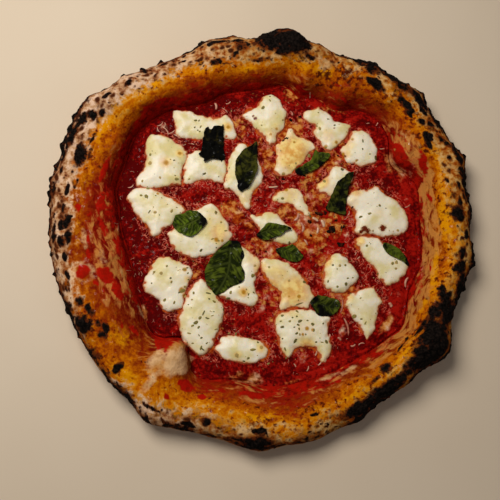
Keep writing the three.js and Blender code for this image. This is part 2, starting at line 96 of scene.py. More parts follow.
# Burnt marks as (direction, radius, half length round the rim, half width, depth of burn).
CHAR_MARKS = [
    (86, 134, 15, 8, 1), (81, 135, 10, 11, 1), (89, 139, 10, 7, 1), (97, 131, 6, 5, 0.5), (75.5, 126, 4, 2, 0.75),
    (92, 121, 9, 1.8, 0.5), (62, 142, 12, 4.5, 0.85), (56, 141, 6, 4.5, 0.8), (66, 139, 5, 3, 0.6),
    (52.5, 132.3, 7, 2.6, 1), (41.2, 136.6, 7, 2.4, 1), (38.6, 133.5, 3.5, 1.6, 0.9), (34, 137.6, 2.8, 2.2, 0.95),
    (29.4, 135, 4.5, 2.6, 1), (27.3, 132.8, 4, 2.2, 1), (27, 143, 3, 2, 0.8), (24.5, 145, 3, 2, 0.8),
    (46, 143, 5, 2, 0.75), (36.5, 143.6, 4, 1.8, 0.75), (32, 142.5, 3, 2, 0.7), (20.5, 141, 2.5, 1.6, 0.6),
    (17, 137.5, 2, 1.4, 0.6), (12, 140.5, 2.6, 1.8, 0.7), (9, 143, 3, 1.8, 0.7), (14.5, 133, 2, 1.3, 0.6),
    (3.6, 136, 5.5, 4.6, 0.95), (7, 139, 3, 2, 0.7), (357.5, 141.5, 4, 2.6, 0.7), (352, 138.6, 5.5, 2.2, 0.75),
    (347.6, 138.5, 5, 4.6, 0.8), (342, 143, 10, 5, 0.9), (339, 130.3, 4.5, 3, 0.75), (337, 134.6, 6, 4, 0.9),
    (332.6, 131, 6, 5, 0.9), (334, 139.5, 10, 6.5, 1), (325.5, 136.4, 13, 9.4, 1), (319.5, 141, 12, 9, 1),
    (327, 128.5, 6, 2.4, 0.9), (323, 145, 10, 6, 1), (318.5, 125.4, 7, 1.2, 0.6), (309.2, 127.5, 4.5, 3, 0.75),
    (314, 138, 7, 4, 0.75), (306, 139.5, 15, 5.6, 1), (297.5, 140.6, 13, 4.8, 1), (304.5, 129, 4, 1.4, 0.6),
    (296, 147, 14, 3, 0.6), (284, 133, 2.4, 1.5, 0.7), (267.6, 148, 11, 6, 0.95), (268, 139.6, 4.6, 2, 0.8),
    (263, 146, 5, 3, 0.5), (253.6, 139.6, 3.4, 3.2, 0.85), (249.4, 145, 4.5, 2.4, 0.75), (246, 150, 6, 3, 0.9),
    (232.3, 151, 8, 2.2, 0.95), (238.6, 145.4, 7, 1, 0.7), (226.5, 150, 7, 1.1, 0.7), (225.4, 138.6, 2.3, 4.2, 1),
    (210.6, 140, 6.5, 5, 1), (216, 133, 3, 2.4, 0.7), (214.4, 128.6, 3.4, 2.2, 0.8), (212.6, 131.5, 2.8, 2, 0.7),
    (208, 132, 4.6, 2.4, 0.8), (204.6, 136, 3.2, 2.8, 0.65), (218.5, 144, 5, 4, 0.5), (196, 137.6, 3.4, 1.4, 0.95),
    (199, 141.5, 3, 1.2, 0.7), (191, 137.4, 3, 1.6, 0.8), (186.7, 138.6, 3.6, 3, 0.9), (185.3, 133.8, 4, 1.8, 0.9),
    (180.6, 134.6, 4.6, 2.4, 0.95), (181.6, 138.6, 4.4, 1.8, 0.8), (177, 137.6, 3, 1.4, 0.8), (184, 144, 7, 2.4, 0.7),
    (171.6, 137.6, 3.4, 1.6, 0.9), (169.5, 131.8, 4, 0.9, 0.6), (166, 145, 3, 1.8, 0.8), (172, 147, 6, 2.2, 0.8),
    (160.6, 135.4, 6.6, 4, 1), (158.4, 138.6, 4, 2, 0.9), (154.4, 133.2, 5, 1, 0.7), (159, 129.5, 6, 1.6, 0.5),
    (150.6, 145.6, 4, 2.8, 0.9), (148.4, 141.6, 2.6, 3, 0.9), (146.6, 137, 2.4, 2.2, 0.85), (156, 147, 10, 3, 0.9),
    (162, 146.5, 6, 2, 0.8), (134.4, 138, 3.4, 1.7, 0.75), (141.4, 142.4, 5, 1.2, 0.75), (138, 135.6, 2.2, 1.4, 0.6),
    (128, 139.6, 3, 4, 0.7), (122, 137, 3.4, 1.8, 0.7), (126, 131.6, 3, 0.9, 0.6), (117, 131.8, 2.8, 0.9, 0.6),
    (115.4, 136.6, 2, 2.2, 0.55), (110, 141, 3, 4.4, 0.95), (104.4, 137.6, 7.5, 1.8, 0.8), (106.6, 123, 4, 2.5, 0.8),
    (103, 120.4, 4.4, 0.9, 0.65), (100, 126, 3, 2, 0.55), (112.4, 128, 2, 1.4, 0.5), (98, 136, 4, 2, 0.7),
    (50, 146, 16, 4.5, 0.95), (60, 144.5, 14, 4.5, 1), (40, 147.5, 10, 3.5, 0.9), (33, 149, 9, 3, 0.9),
    (21, 148, 9, 2.5, 0.9), (12, 147, 13, 3.5, 1), (3, 147.5, 8, 3, 0.9), (352, 148.5, 14, 3.5, 0.9),
    (343, 147.5, 13, 4.5, 1), (336.5, 143, 8, 3.6, 0.8), (85, 146, 10, 8, 1), (84, 126, 7, 3, 0.9), (84, 151.5, 11, 7, 1),
]
# Where the crust's outermost edge is scorched: (direction, depth of burn, spread).
CHAR_EDGE = [
    (83, 1, 12), (94, 0.75, 3), (109.5, 0.9, 2.4), (101, 0.8, 5), (121, 0.6, 5), (131, 0.6, 3), (140, 0.7, 5), (149, 1, 4),
    (157, 1, 5), (165, 0.7, 4), (172, 1, 4), (180, 0.8, 5), (187, 0.8, 3), (196, 0.6, 5), (206, 0.9, 6),
    (216, 0.6, 5), (227, 0.7, 4), (232.5, 1, 3.4), (247, 1, 3), (254, 0.4, 3), (268, 1, 5.5), (285, 0.35, 5),
    (300, 1, 9), (322, 1, 10), (340, 1, 7), (352, 0.9, 5), (1, 0.6, 4), (9, 0.8, 4), (19, 1, 6), (31, 1, 5),
    (42, 1, 5), (52, 1, 5), (61, 1, 5), (70, 0.7, 4),
]
# Splashes and smears of sauce that lie out on the rim, like CHAR_MARKS.
SAUCE_MARKS = [
    (22, 124.4, 9, 2.6, 0.9), (11, 122.4, 4.5, 1.6, 0.8), (31, 115, 13, 3, 0.9), (34, 121, 8, 1.2, 0.6),
    (58.4, 112.6, 3.4, 1.3, 0.8), (64, 117.5, 4, 1, 0.5), (176.2, 128, 3.2, 1.8, 0.75), (178, 120, 2, 1.4, 0.5),
    (174.5, 113.4, 8.5, 2.8, 1), (161.5, 117.2, 8.5, 2.1, 0.85), (196.6, 127.4, 4.6, 4.6, 1), (199.5, 114.4, 5.4, 4.8, 1),
    (206, 110.8, 6.5, 3.2, 0.95), (209.5, 101.4, 8.5, 5.4, 1), (219.6, 115, 4.4, 2.8, 0.7), (216.5, 119.5, 2, 1.6, 0.6),
    (228, 107, 10, 6.5, 1), (244.2, 122.6, 5.6, 4.2, 1), (250.6, 125, 2.4, 1.8, 0.9), (241, 134, 1.8, 1.6, 0.8),
    (267.5, 116.8, 12, 2.8, 1), (255.6, 117, 3.4, 1.6, 0.8), (191.6, 121, 3, 1.8, 0.7), (187, 120.6, 4.6, 1, 0.65),
    (183, 111, 9, 1.8, 0.65), (190, 102, 8, 1.6, 0.7), (293.4, 118.4, 5, 1.2, 0.8), (302, 109.5, 9, 1.3, 0.8),
    (324, 115.4, 11, 1.9, 0.8), (347, 121.4, 6, 1, 0.7), (335, 113, 10, 1.6, 0.8), (201, 121.5, 2, 1.4, 0.6),
    (204, 118, 2.4, 1, 0.5), (184.5, 126, 1.6, 1.2, 0.5),
]
# Pale bubbles and streaks of bare dough on the inner slope, like CHAR_MARKS, and how far each stands up.
BARE_DOUGH = [
    (27, 108, 13, 6, 0.5, 0.2), (22, 116.5, 7, 4.6, 0.35, 0.2),
    (33, 122.2, 12, 2.2, 0.4, 0.3), (4, 118.4, 13, 1.8, 0.35, 0.2), (347, 117.8, 12, 1.8, 0.35, 0.2),
    (322, 110, 8, 3, 0.7, 0.5), (330, 118.4, 8, 1.6, 0.45, 0.3), (300, 115.5, 8, 3.2, 0.55, 0.5),
    (293, 113.4, 9, 3, 0.55, 0.5), (280, 109.2, 6, 1.6, 0.5, 0.3), (263, 106, 12, 4.8, 0.5, 0.5),
    (235, 130, 3, 11, 0.6, 0.5), (237.5, 112, 9.5, 10, 0.9, 1.4), (232.5, 116, 4.5, 11, 0.65, 0.6),
    (216, 103.4, 6, 4.6, 0.55, 1), (196.6, 127.4, 7.6, 7.6, 0.75, 0.2), (193, 113, 8, 3, 0.45, 0.3),
    (186, 122, 9, 5, 0.45, 0.3), (201, 104, 8, 1.6, 0.5, 0.4), (181, 102, 9, 1.6, 0.4, 0.4), (70, 126.5, 9, 4, 0.5, 0.2),
]
# Bright yellow places in the oily part: buttery oil, partly a painted highlight on its glaze.
YELLOW_MARKS = [
    (130, 126.6, 11, 2.4, 1), (69.5, 122, 8, 3.4, 1), (76, 119, 10, 4, 0.6), (150, 129.5, 16, 3, 0.7), (165, 126, 16, 5, 0.4),
    (110, 119.5, 14, 2.6, 0.6), (96, 116, 12, 3, 0.6), (345, 123.6, 17, 3.2, 0.9), (2, 127.5, 14, 4.6, 0.9), (12, 129, 8, 3, 0.6),
    (317, 129, 11, 2.2, 0.8), (297, 131, 14, 2.4, 0.7), (285, 128, 14, 3, 0.5), (268, 131.5, 12, 2.6, 0.8),
    (228, 139, 12, 6, 0.7), (219, 124, 10, 8, 0.6), (250, 132, 12, 4, 0.4), (184, 127, 12, 4, 0.5), (48, 135, 8, 2, 0.5),
    (22, 132, 9, 2.4, 0.5), (334, 123, 10, 2.4, 0.7), (308, 121.5, 8, 2.2, 0.5), (159, 107, 12, 5, 0.5),
]
# How much white flour the outside of the rim carries, as (direction, part).
# Most on the upper left and left, where it is partly a painted pink tint of the light.
FLOUR_DUST_AND_LIGHT_TINT = [
    (0, 0.2), (20, 0.25), (45, 0.3), (62, 0.3), (75, 0.3), (95, 0.3), (108, 0.45), (122, 0.6), (140, 0.8), (155, 0.9), (170, 0.7),
    (212, 0.6), (228, 0.8), (245, 0.6), (258, 0.35), (280, 0.3), (300, 0.2), (325, 0.1), (345, 0.1),
]
# How the inner slope looks round the rim: (direction, how pitted, how red, how streaked with cream,
# how much paler: painted light above 0, painted shade below 0).
SLOPE_LOOK = [
    (0, 0.5, 0.3, 0.85, 0.05), (15, 0.6, 0.4, 1, 0.05), (30, 0.7, 0.5, 1, 0), (45, 0.8, 0.6, 0.5, -0.15),
    (58, 1, 0.6, 0.2, -0.2), (68, 0.9, 0.5, 0.3, -0.1), (76, 0.4, 0.4, 0.7, 0), (90, 0.5, 0.6, 0.3, -0.1),
    (100, 0.6, 0.6, 0.2, -0.15), (115, 0.4, 0.6, 0.2, -0.05), (130, 0.1, 0.4, 0.1, 0.12), (145, 0.2, 0.3, 0.15, 0.1),
    (160, 0.6, 0.4, 0.5, -0.2), (175, 0.4, 0.7, 0.6, -0.45), (190, 0.2, 0.8, 0.9, -0.5), (205, 0.1, 0.7, 0.8, -0.3),
    (222, 0.2, 0.3, 0.4, -0.15), (236, 0.1, 0, 0.8, 0), (250, 0.5, 0.8, 0.3, 0), (265, 0.5, 0.7, 0.8, 0.05),
    (278, 0.9, 0.8, 0.3, 0), (290, 0.8, 0.5, 0.6, 0), (305, 0.7, 0.4, 0.6, 0), (320, 0.6, 0.3, 0.85, 0.05),
    (330, 0.9, 0.4, 0.95, -0.05), (345, 0.6, 0.3, 0.85, 0.05),
]
# Where the rim's outer edge falls back beside its burnt peak: (direction, how far, spread in degrees).
EDGE_DENTS = [(93, 5.6, 5.4), (76.4, 5.4, 4.6)]
# Black knobs along the rim's outer edge: (direction, how far each stands out, half width).
EDGE_KNOBS = [
    (150.6, 1.6, 2.2), (154.3, 1.4, 1.8), (159.3, 1.8, 2.2), (164.2, 1.4, 1.8), (168.5, 1.5, 2),
    (172.3, 1.5, 2), (175, 1.2, 1.6),
    (147.3, 1.3, 1.8), (144.2, 1.1, 1.6), (139.9, 1.4, 1.8), (133.6, 1.2, 1.8), (127.7, 1.3, 1.8),
    (122.1, 1.2, 1.8), (108.9, 3, 2.2),
    (36.2, 1.2, 1.8), (31.9, 1.3, 1.8), (24.4, 1.2, 1.6), (20, 1.4, 2), (15, 1.3, 1.8), (9.6, 1.2, 1.8),
    (183, 1, 1.6), (188.5, 1.2, 1.8),
    (194, 1, 1.6), (199.5, 1.1, 1.6), (205, 1.2, 1.8), (212, 0.9, 1.6), (218, 1, 1.6), (226, 1, 2),
    (343, 1.3, 2), (350, 1.2, 1.8), (356, 1, 1.6),
    (41, 1.1, 1.8), (45.6, 1, 1.6), (50.4, 1.2, 1.8), (56, 1.2, 2), (61, 1.1, 1.8), (65.6, 1, 1.6),
]

# ---- The mozzarella's shapes and finish ------------------------------------------------------------

# The outline of each melted slab, as corners anticlockwise or clockwise round it.
SLAB_OUTLINES = {
    "mozzarella_01": [
        (-65.5, 88.5), (-64, 89.5), (-58, 89), (-53, 88), (-49, 86), (-42, 85), (-36, 84), (-31, 84.7), (-27, 86),
        (-24, 84), (-22, 81), (-20.5, 77), (-19, 72), (-20, 69), (-23, 67.5), (-28, 68), (-36, 67), (-43, 66.5),
        (-50, 67), (-56, 67.5), (-60, 68), (-63.5, 70), (-64, 75), (-65, 80), (-66, 84)],
    "mozzarella_02": [
        (-82.5, 69), (-79, 70), (-75, 70), (-70, 68.5), (-65.5, 66), (-62, 63.5), (-58, 61.5), (-55.5, 58.5),
        (-54.3, 56), (-54.5, 52), (-56, 47.5), (-58, 43), (-58, 37), (-58.5, 32.5), (-63, 31.5), (-69, 30.5),
        (-75, 29.5), (-79, 29.5), (-85, 29), (-90.5, 30), (-90.8, 34), (-89, 38), (-86.5, 42), (-85.2, 47),
        (-84, 51), (-85.5, 55), (-85, 60), (-84, 65)],
    "mozzarella_03": [
        (-97.5, 21.5), (-94, 26), (-90, 29.5), (-85, 30), (-79, 29), (-74, 27), (-69, 24), (-63, 21), (-57, 16.5),
        (-55, 13), (-58, 10.5), (-62, 8), (-64, 3), (-67.5, 1), (-70.5, -0.5), (-73.5, -4), (-76.5, -5.8),
        (-79, -4.5), (-80.5, -0.5), (-84, 4), (-90, 10), (-93.5, 16), (-96, 19)],
    "mozzarella_04": [
        (-56, 52), (-54, 55.5), (-50, 57.8), (-46, 58.5), (-40, 57), (-33, 54), (-28, 51), (-26.6, 46), (-26.5, 40),
        (-27.5, 34.5), (-31, 34), (-37, 35.5), (-44, 35.5), (-50, 34.3), (-55, 33.5), (-57.5, 36), (-57, 42),
        (-57, 47)],
    "mozzarella_05": [
        (-17, 65), (-21, 60), (-24, 55), (-25, 50), (-26, 44), (-27.5, 38), (-28, 32), (-26, 29.5), (-22, 27.5),
        (-18, 25), (-16, 21), (-14.5, 17), (-12, 15), (-9.5, 16), (-8.5, 20), (-8.5, 25), (-5, 29.5), (-1, 36),
        (0, 41), (-1, 47), (-3, 53), (-5, 56), (-9, 60.5), (-11, 62.5), (-13, 64.5)],
    "mozzarella_06": [
        (-15, 86.5), (-12, 89.5), (-8, 91.5), (-4, 94), (-1, 98.5), (2, 101.5), (7, 103), (11, 100.5), (14.5, 96),
        (17.5, 90.5), (18.3, 86), (16, 81), (15, 76), (12, 72), (10, 66), (7, 63.5), (3.5, 64), (1, 69),
        (-3, 73.5), (-7, 78.5), (-12, 83)],
    "mozzarella_07": [
        (9, 62), (12, 67), (17, 71), (20, 77), (23, 76), (25, 72), (30, 70), (34, 68.5), (37, 66), (39.5, 62.5),
        (38, 60.5), (36, 59.5), (32, 55), (30, 52), (28, 49), (25, 47.5), (23, 45), (21, 42), (17, 40.5),
        (13, 40), (9.5, 41.5), (8, 45), (10, 50), (10, 56)],
    "mozzarella_08": [
        (30, 88.5), (32, 91), (36, 91.5), (40, 94), (42, 95), (44, 92), (48, 90), (51, 87.5), (53, 84.5),
        (57, 83.5), (62, 82), (65.5, 80.5), (65.5, 78), (64, 74), (61, 69.5), (57, 66), (54, 63), (51, 60.5),
        (47, 60), (45, 61.5), (43, 65), (40, 69), (38, 72), (37, 76), (39, 79), (36, 81), (32, 82.5), (30, 85)],
    "mozzarella_09": [
        (66, 75), (70, 76.5), (75, 76), (79, 73), (82, 69), (84.5, 64), (84.5, 59), (83.5, 54), (81, 51),
        (76, 49.5), (72, 48.5), (69, 50), (66, 51.5), (62, 52), (60, 54), (58, 58), (57, 61), (59, 64),
        (62, 67), (64, 72)],
    "mozzarella_10": [
        (50, 47.5), (57, 49), (61, 46.5), (66, 44), (66, 39), (63, 34), (60, 29), (52, 25), (47, 27),
        (42, 28.5), (39, 31), (40, 35), (44, 38.5), (48, 42)],
    "mozzarella_11": [
        (60.5, 24), (62, 27), (66, 29.5), (70, 31), (75, 31.5), (79, 32.5), (82, 34.5), (85, 34), (87, 31),
        (90, 28), (94, 26), (98, 24), (101, 20), (103, 16), (105.5, 10), (105, 4), (102, 0), (98, -2.5),
        (94, -3.5), (89, -3.5), (82, -3), (79, -2), (75, -1.5), (70, -3), (66, -1), (66.5, 3), (67.5, 6),
        (67, 10), (66, 15), (63, 18.5), (61, 21)],
    "mozzarella_12": [
        (66, -5.5), (70, -3.5), (75, -3), (80, -3.5), (84, -5), (87, -8), (92, -9), (97, -13), (101, -18),
        (104, -23), (104, -26), (102.5, -30), (98, -35), (94, -37.5), (90, -39.5), (87, -39), (85, -36),
        (82, -32), (80, -27.5), (76, -23), (73, -20), (70.5, -16), (68, -12), (66, -9)],
    "mozzarella_13": [
        (49, -17.5), (53, -16.3), (57, -17), (60, -20), (63, -24), (66, -27.5), (68.5, -31), (67.5, -34.5),
        (65, -38), (61, -41.5), (57, -44), (52, -44.7), (48, -43), (44, -40), (42.5, -36), (42.3, -31),
        (43.5, -26), (45.5, -21.5)],
    "mozzarella_14": [
        (66, -43.5), (70, -41.5), (74, -41.5), (77, -40.5), (79, -38.5), (80.3, -43.5), (83, -47), (85, -51),
        (83, -55), (80.5, -60), (79.5, -65), (78.5, -70), (76, -74), (73, -77.5), (71, -75.5), (69, -71),
        (66, -66), (62, -61.5), (59.5, -56), (57.5, -52.5), (58.5, -48.5), (61.5, -45.5)],
    "mozzarella_15": [
        (12, -58.3), (18, -57.2), (24, -56.2), (30, -56.8), (35, -57), (41, -59.5), (46.8, -61.5), (46, -67),
        (45.3, -73), (46.5, -78), (47.3, -84), (45.5, -89.5), (41.5, -93.5), (39, -91), (38, -86), (34.5, -82.5),
        (28, -82.3), (22, -84), (19.5, -88), (16.5, -90), (14, -86.5), (11.5, -81.5), (10.3, -75), (8.5, -69.5),
        (7.5, -64.5), (9, -60.5)],
    "mozzarella_16": [
        (-1.5, -22), (4, -20.3), (10, -21), (16, -23), (21, -26.5), (26, -31), (30, -35.5), (33, -41),
        (35.5, -47), (33.5, -52), (30, -55.5), (24, -55), (18, -56), (12, -57.3), (11, -53), (12, -48),
        (10.5, -43.5), (6.5, -39.5), (2.5, -35), (-0.5, -30)],
    "mozzarella_17": [
        (-15.5, -12), (-11, -14.5), (-6, -17.5), (-2.5, -21), (-2, -26), (-3.5, -31), (-5.5, -36), (-6, -41),
        (-4.5, -46), (-3, -50.5), (-6.5, -53.8), (-11.5, -54.7), (-17, -53), (-22, -51), (-27, -50),
        (-31.5, -47), (-29, -43.5), (-22, -38), (-18, -30), (-17, -22), (-17, -15)],
    "mozzarella_18": [
        (-67.8, -5), (-66, -1.5), (-62, 1), (-58, 6), (-55, 11), (-50, 13.8), (-46, 14.5), (-42, 17), (-38, 19),
        (-34, 18), (-31.5, 14), (-29, 10), (-26, 6), (-24, 1), (-22, -3), (-23, -7), (-27, -10), (-31, -13.5),
        (-35, -18), (-39, -19), (-44, -20), (-49, -20.7), (-54, -19.7), (-59, -17.7), (-63, -14.5),
        (-65.5, -10.5)],
    "mozzarella_19": [
        (-79.5, -29), (-76, -24), (-72, -20.7), (-67, -20.3), (-62, -22.5), (-56.5, -25), (-52, -27.5),
        (-49, -32), (-50.5, -37), (-53, -41), (-54.5, -47), (-55.5, -52), (-57, -56), (-61, -57.5), (-65, -58.8),
        (-69, -57.5), (-71.3, -54.5), (-72, -50.8), (-76, -48), (-81, -46), (-83.7, -42), (-82.8, -36)],
    "mozzarella_20": [
        (-44, -35.5), (-48, -38), (-51.5, -42.5), (-54, -48), (-55.8, -53), (-57.5, -59), (-59, -63.5),
        (-58, -69), (-57, -74), (-54.5, -80), (-50, -83.5), (-46, -88), (-43, -89), (-38, -86.5), (-35, -82),
        (-33.5, -77), (-30.5, -70), (-28, -64), (-27.5, -58), (-28.5, -52.5), (-31.5, -48.5), (-34, -45),
        (-38, -41.5), (-41, -37)],
    "mozzarella_21": [
        (-34, -84), (-31, -80), (-29, -76), (-25, -74.8), (-20, -74.5), (-15, -75), (-10, -77), (-5, -77.7),
        (-1, -79), (2, -82), (3.5, -86), (1.5, -90), (-2, -92), (-6, -94), (-11, -94.5), (-17, -94), (-22, -92),
        (-27, -90.5), (-31, -88)],
    "mozzarella_22": [
        (-8.5, 10.5), (-4, 10.5), (-1, 11), (2, 13.5), (6, 13.3), (10, 12.5), (13, 9.5), (17, 5), (21, 2),
        (24, -1), (25.3, -5), (24, -8.5), (19, -10), (13, -10), (8, -8.5), (3, -6.5), (-1, -3), (-4, 2), (-7, 6)],
    "mozzarella_23": [
        (7, 22.5), (8.5, 26), (12, 29), (17, 31.5), (22, 32), (26, 30.5), (28.5, 27), (30, 22), (32.5, 17),
        (34, 13), (31, 11), (27, 14), (23, 17), (18, 19.3), (12, 20.5)],
}
# Creamy or orange places: (x, y, radius, strength).
WARM_PATCHES = [
    (21, 58, 17, 0.95), (14, 52, 12, 0.5), (27, 68, 10, 0.4), (10, -33, 12, 0.6), (22, -44, 14, 0.9), (5, -40, 8, 0.9),
    (-2, -28, 7, 0.8), (20, 26, 9, 0.6), (29, 15, 8, 0.4), (42, 37, 8, 1), (50, 30, 8, 0.5), (50, 40, 8, 0.25),
    (-31, -3, 9, 0.75), (-33, 6, 12, 0.45), (-27, 12, 6, 0.6), (-28, -5, 6, 0.6), (-14, -45, 4.5, 0.9), (-5, -22, 8, 0.6),
    (69, -7, 5, 0.9), (74, -4, 8, 0.3), (45, -22, 5, 0.9), (44, -31, 3.4, 0.6), (60, -47, 5, 0.7), (30, -82, 6, 0.9),
    (29, -71, 10, 0.45), (17, -56, 9, 0.5), (24, -60, 8, 0.3), (6, 71, 6, 0.6), (10, 76, 5, 0.5), (5, 85, 8, 0.3), (48, 71, 7, 0.55),
    (54, 66, 6, 0.5), (63, 65, 6, 0.6), (61, 58, 5, 0.7), (66, 69, 4, 0.5), (75, 57, 10, 0.2), (68, 29, 5, 0.8),
    (83, 13, 8, 0.35), (66, 22, 5, 0.5), (76, 2, 12, 0.25), (-25.5, 76, 4.5, 0.9), (-36, 86, 7, 0.8), (-60, 55, 3.5, 0.9),
    (-70, 48, 6, 0.7), (-66, 41, 10, 0.25), (-81, 47, 3, 0.4), (-37, 43, 6, 0.3), (-14, 22, 9, 0.5), (-27, 38, 5, 0.6),
    (-70, 20, 8, 0.35), (-60, 17, 6, 0.4), (-76, 8, 10, 0.25), (-95, 19, 4, 0.5), (-57, -29, 5, 0.4), (-55, -44, 4, 0.7),
    (-53, -36, 3, 0.7), (-18, -88, 3.5, 0.6), (-2, -84, 4, 0.7), (-45, -68, 9, 0.2), (14, 10, 7, 0.5), (21, 5, 6, 0.5),
]
# Golden-brown toasted dots.
GOLD_DOTS = [
    (-60, 55, 1.8), (-69.5, 47.6, 2.6), (-81, 47.4, 1.6), (-25.5, 76, 1.8), (10, 75.4, 1.4), (5.5, 71, 1.4), (42, 77, 1.3),
    (54, 66.6, 1.6), (46.4, 63.4, 1.7), (59, 58, 1.6), (68.6, 53, 1.3), (66, 69, 1.4), (15, 42, 1.6), (24, 50, 1), (-33, -8, 2.2),
    (-29, -8.4, 1.4), (-34, -7.4, 1.2), (-30, 5, 1), (-45, 76, 0.9), (-14, -45, 2.2), (18, -36.6, 1.1), (25, -47.5, 1.8),
    (18, -47.6, 1), (-18.6, -88.4, 1.6), (-1.6, -83, 1.6), (95, -22.6, 1.5), (92, -23.4, 1.4), (94.4, -27, 1.2), (84, 19, 0.9),
    (-57, -44, 2.6), (-55, -47.4, 1.7), (-55, -29.4, 2), (-64, -38.4, 1), (-71, -32.6, 1.2), (-76.6, 11, 1.4), (-65, 12, 1.2),
    (30, -70, 2), (34, -71, 1.6), (27, -74, 1.4), (54, -25.4, 1.2), (58, -25, 1), (14, 23.4, 1.2), (17, 30, 1.8), (23, 66, 1.3),
    (-75, 25, 1.4), (64, -61, 1.8), (-86, 34, 1), (-73.6, 36.6, 1.1), (97, 1, 1.2), (36, 56.6, 1.2), (-6, -26, 1.2),
]
# Dark red-brown scorched dots.
SCORCH_DOTS = [
    (72.6, 1.6, 2.4), (75.4, 0.4, 1.8), (70.4, -0.4, 1.4), (86, 2.2, 2.5), (-5.4, 83.2, 1.5), (-7, 85, 1), (79, 0.6, 0.8),
    (34, 56.4, 1.4), (-33.6, 12, 1), (52.6, 77, 0.6), (57, 12, 1.4), (69, 53.2, 0.8), (60, 56, 1), (33, 8, 1.3), (31, 5, 1),
]

# Leaves: the direction each tip looks, how green it still is, how strongly it crumpled, its burnt places
# as (x, y, radius, strength), and its outline.
BASIL_LEAVES = {
    "basil_01": dict(
        tip=80, green=0, crumple=1.5,
        burnt=[(-36, 63, 30, 1)],
        outline=[
        (-42.5, 73), (-40, 75.5), (-38, 73.5), (-36, 75.5), (-33, 76.5), (-30, 76), (-29, 78), (-28.7, 75), (-29, 71),
        (-28.3, 66), (-28.5, 60), (-27.5, 53), (-29, 50.5), (-30.3, 48.5), (-31, 50.5), (-36, 51.5), (-40, 49.5),
        (-42.5, 49), (-43, 51.5), (-46.5, 54), (-45, 57), (-44.5, 61), (-43.5, 66)]),
    "basil_02": dict(
        tip=72, green=0.15, crumple=1,
        burnt=[
        (-16, 31, 6, 1), (-12, 42, 7, 0.6), (-6, 61, 5, 0.9), (-18, 49, 3, 0.8), (-11, 51, 5, 0.5)],
        outline=[
        (-4.5, 66), (-8, 62.5), (-13, 60), (-17, 55), (-19.5, 51), (-20, 45), (-20.3, 40), (-18.5, 34), (-18.5, 30),
        (-16, 27.5), (-13.5, 28.5), (-10, 31), (-8, 35), (-5, 41), (-3.8, 46), (-4.5, 50), (-4, 55), (-4, 60)]),
    "basil_03": dict(
        tip=27, green=0.62, crumple=0.8,
        burnt=[(25, 43.5, 5.5, 1), (31, 46.5, 3, 0.7), (43, 50.5, 3, 0.6)],
        outline=[
        (23.5, 44.5), (25, 42), (29, 41.5), (33, 43), (37, 45), (41, 47.5), (45, 51), (48.5, 55), (49.5, 57.5), (46, 58.5),
        (41, 59), (38, 60), (35, 53), (31, 50), (28, 47.5), (25, 46.5)]),
    "basil_04": dict(
        tip=63, green=0.22, crumple=1.1,
        burnt=[
        (58, 38, 4, 0.7), (57, 28, 7, 0.75), (56, 19, 5, 0.8), (64, 41, 2.4, 0.6), (46.5, 17, 2, 0.6)],
        outline=[
        (66, 44), (62, 43), (58, 39), (54, 36), (52, 32), (50, 28), (48, 23), (46, 19), (45, 17), (47, 15), (50, 14.5),
        (55, 13), (59, 12), (60, 14), (60, 20), (61, 26), (62, 31), (64, 37), (66, 42)]),
    "basil_05": dict(
        tip=192, green=1, crumple=0.7,
        burnt=[(-42, 4, 5, 1), (-44, 10, 3, 0.8), (-62, 1.5, 2.5, 0.6)],
        outline=[
        (-64, 4), (-62, 9.5), (-57, 10.5), (-53, 13), (-50, 13), (-46, 11.5), (-42, 8), (-40, 5), (-42, 1), (-45, -2),
        (-48, -5), (-52, -6.3), (-57, -4.5), (-61, -2), (-63.5, 1)]),
    "basil_06": dict(
        tip=252, green=0.55, crumple=1,
        burnt=[
        (-20, -10, 5, 0.9), (-14.5, -19, 3, 0.9), (-13.5, -30, 2.6, 0.8), (-15.5, -37, 3, 0.7),
        (-39, -39, 2, 0.5), (-31, -13, 2, 0.5)],
        outline=[
        (-20, -8), (-17, -9), (-15.5, -13), (-13.5, -18.5), (-15, -22.5), (-15.5, -26), (-13.5, -31),
        (-13.5, -36), (-17, -39),
        (-21, -40.5), (-25, -42.5), (-28, -45), (-33.5, -47), (-36.5, -43), (-39.5, -39), (-41, -34), (-40.5, -28),
        (-38, -23), (-35, -18.5), (-31, -14), (-27, -10.5), (-24, -8)]),
    "basil_07": dict(
        tip=12, green=0.7, crumple=0.8,
        burnt=[(-3.5, -4, 3, 0.9), (19, 0.8, 2.5, 0.7), (6, -5.5, 2.5, 0.6)],
        outline=[
        (-5, -4), (-3, -1.5), (0, 1.5), (3, 4.5), (8, 4.5), (12, 3.5), (16, 3), (20, 0.8), (16, -1), (13, -3.5), (9, -5.5),
        (4, -7.5), (-1, -7), (-4, -5.5)]),
    "basil_08": dict(
        tip=345, green=0.75, crumple=0.8,
        burnt=[(11, -15, 3.5, 1), (27, -18, 2, 0.6)],
        outline=[
        (9, -14), (12, -12.5), (17, -11.5), (21, -10), (24, -12.5), (26, -15), (28.5, -18), (27, -21), (24, -22.5),
        (20, -22.5), (15, -20.5), (12, -19), (10, -16.5)]),
    "basil_09": dict(
        tip=350, green=0.45, crumple=0.9,
        burnt=[(38, -57, 6, 1), (36, -50.5, 4, 0.9), (45, -60, 4, 0.8), (52, -53, 2.5, 0.6)],
        outline=[
        (33, -52), (35, -48.5), (38, -46.5), (43, -47), (48, -48), (52.5, -49.5), (54, -53), (52, -57.5), (48, -60.5),
        (43, -61.5), (38, -60.5), (35.5, -56.5)]),
    "basil_10": dict(
        tip=318, green=0.6, crumple=0.8,
        burnt=[(87, -11, 3, 0.8), (102, -22, 4, 1)],
        outline=[
        (86, -8.5), (90, -9), (95, -11.5), (99, -14.5), (103, -19.5), (104, -25), (101, -22.5), (97, -20.5), (92, -18.5),
        (88, -16), (86, -12)]),
}

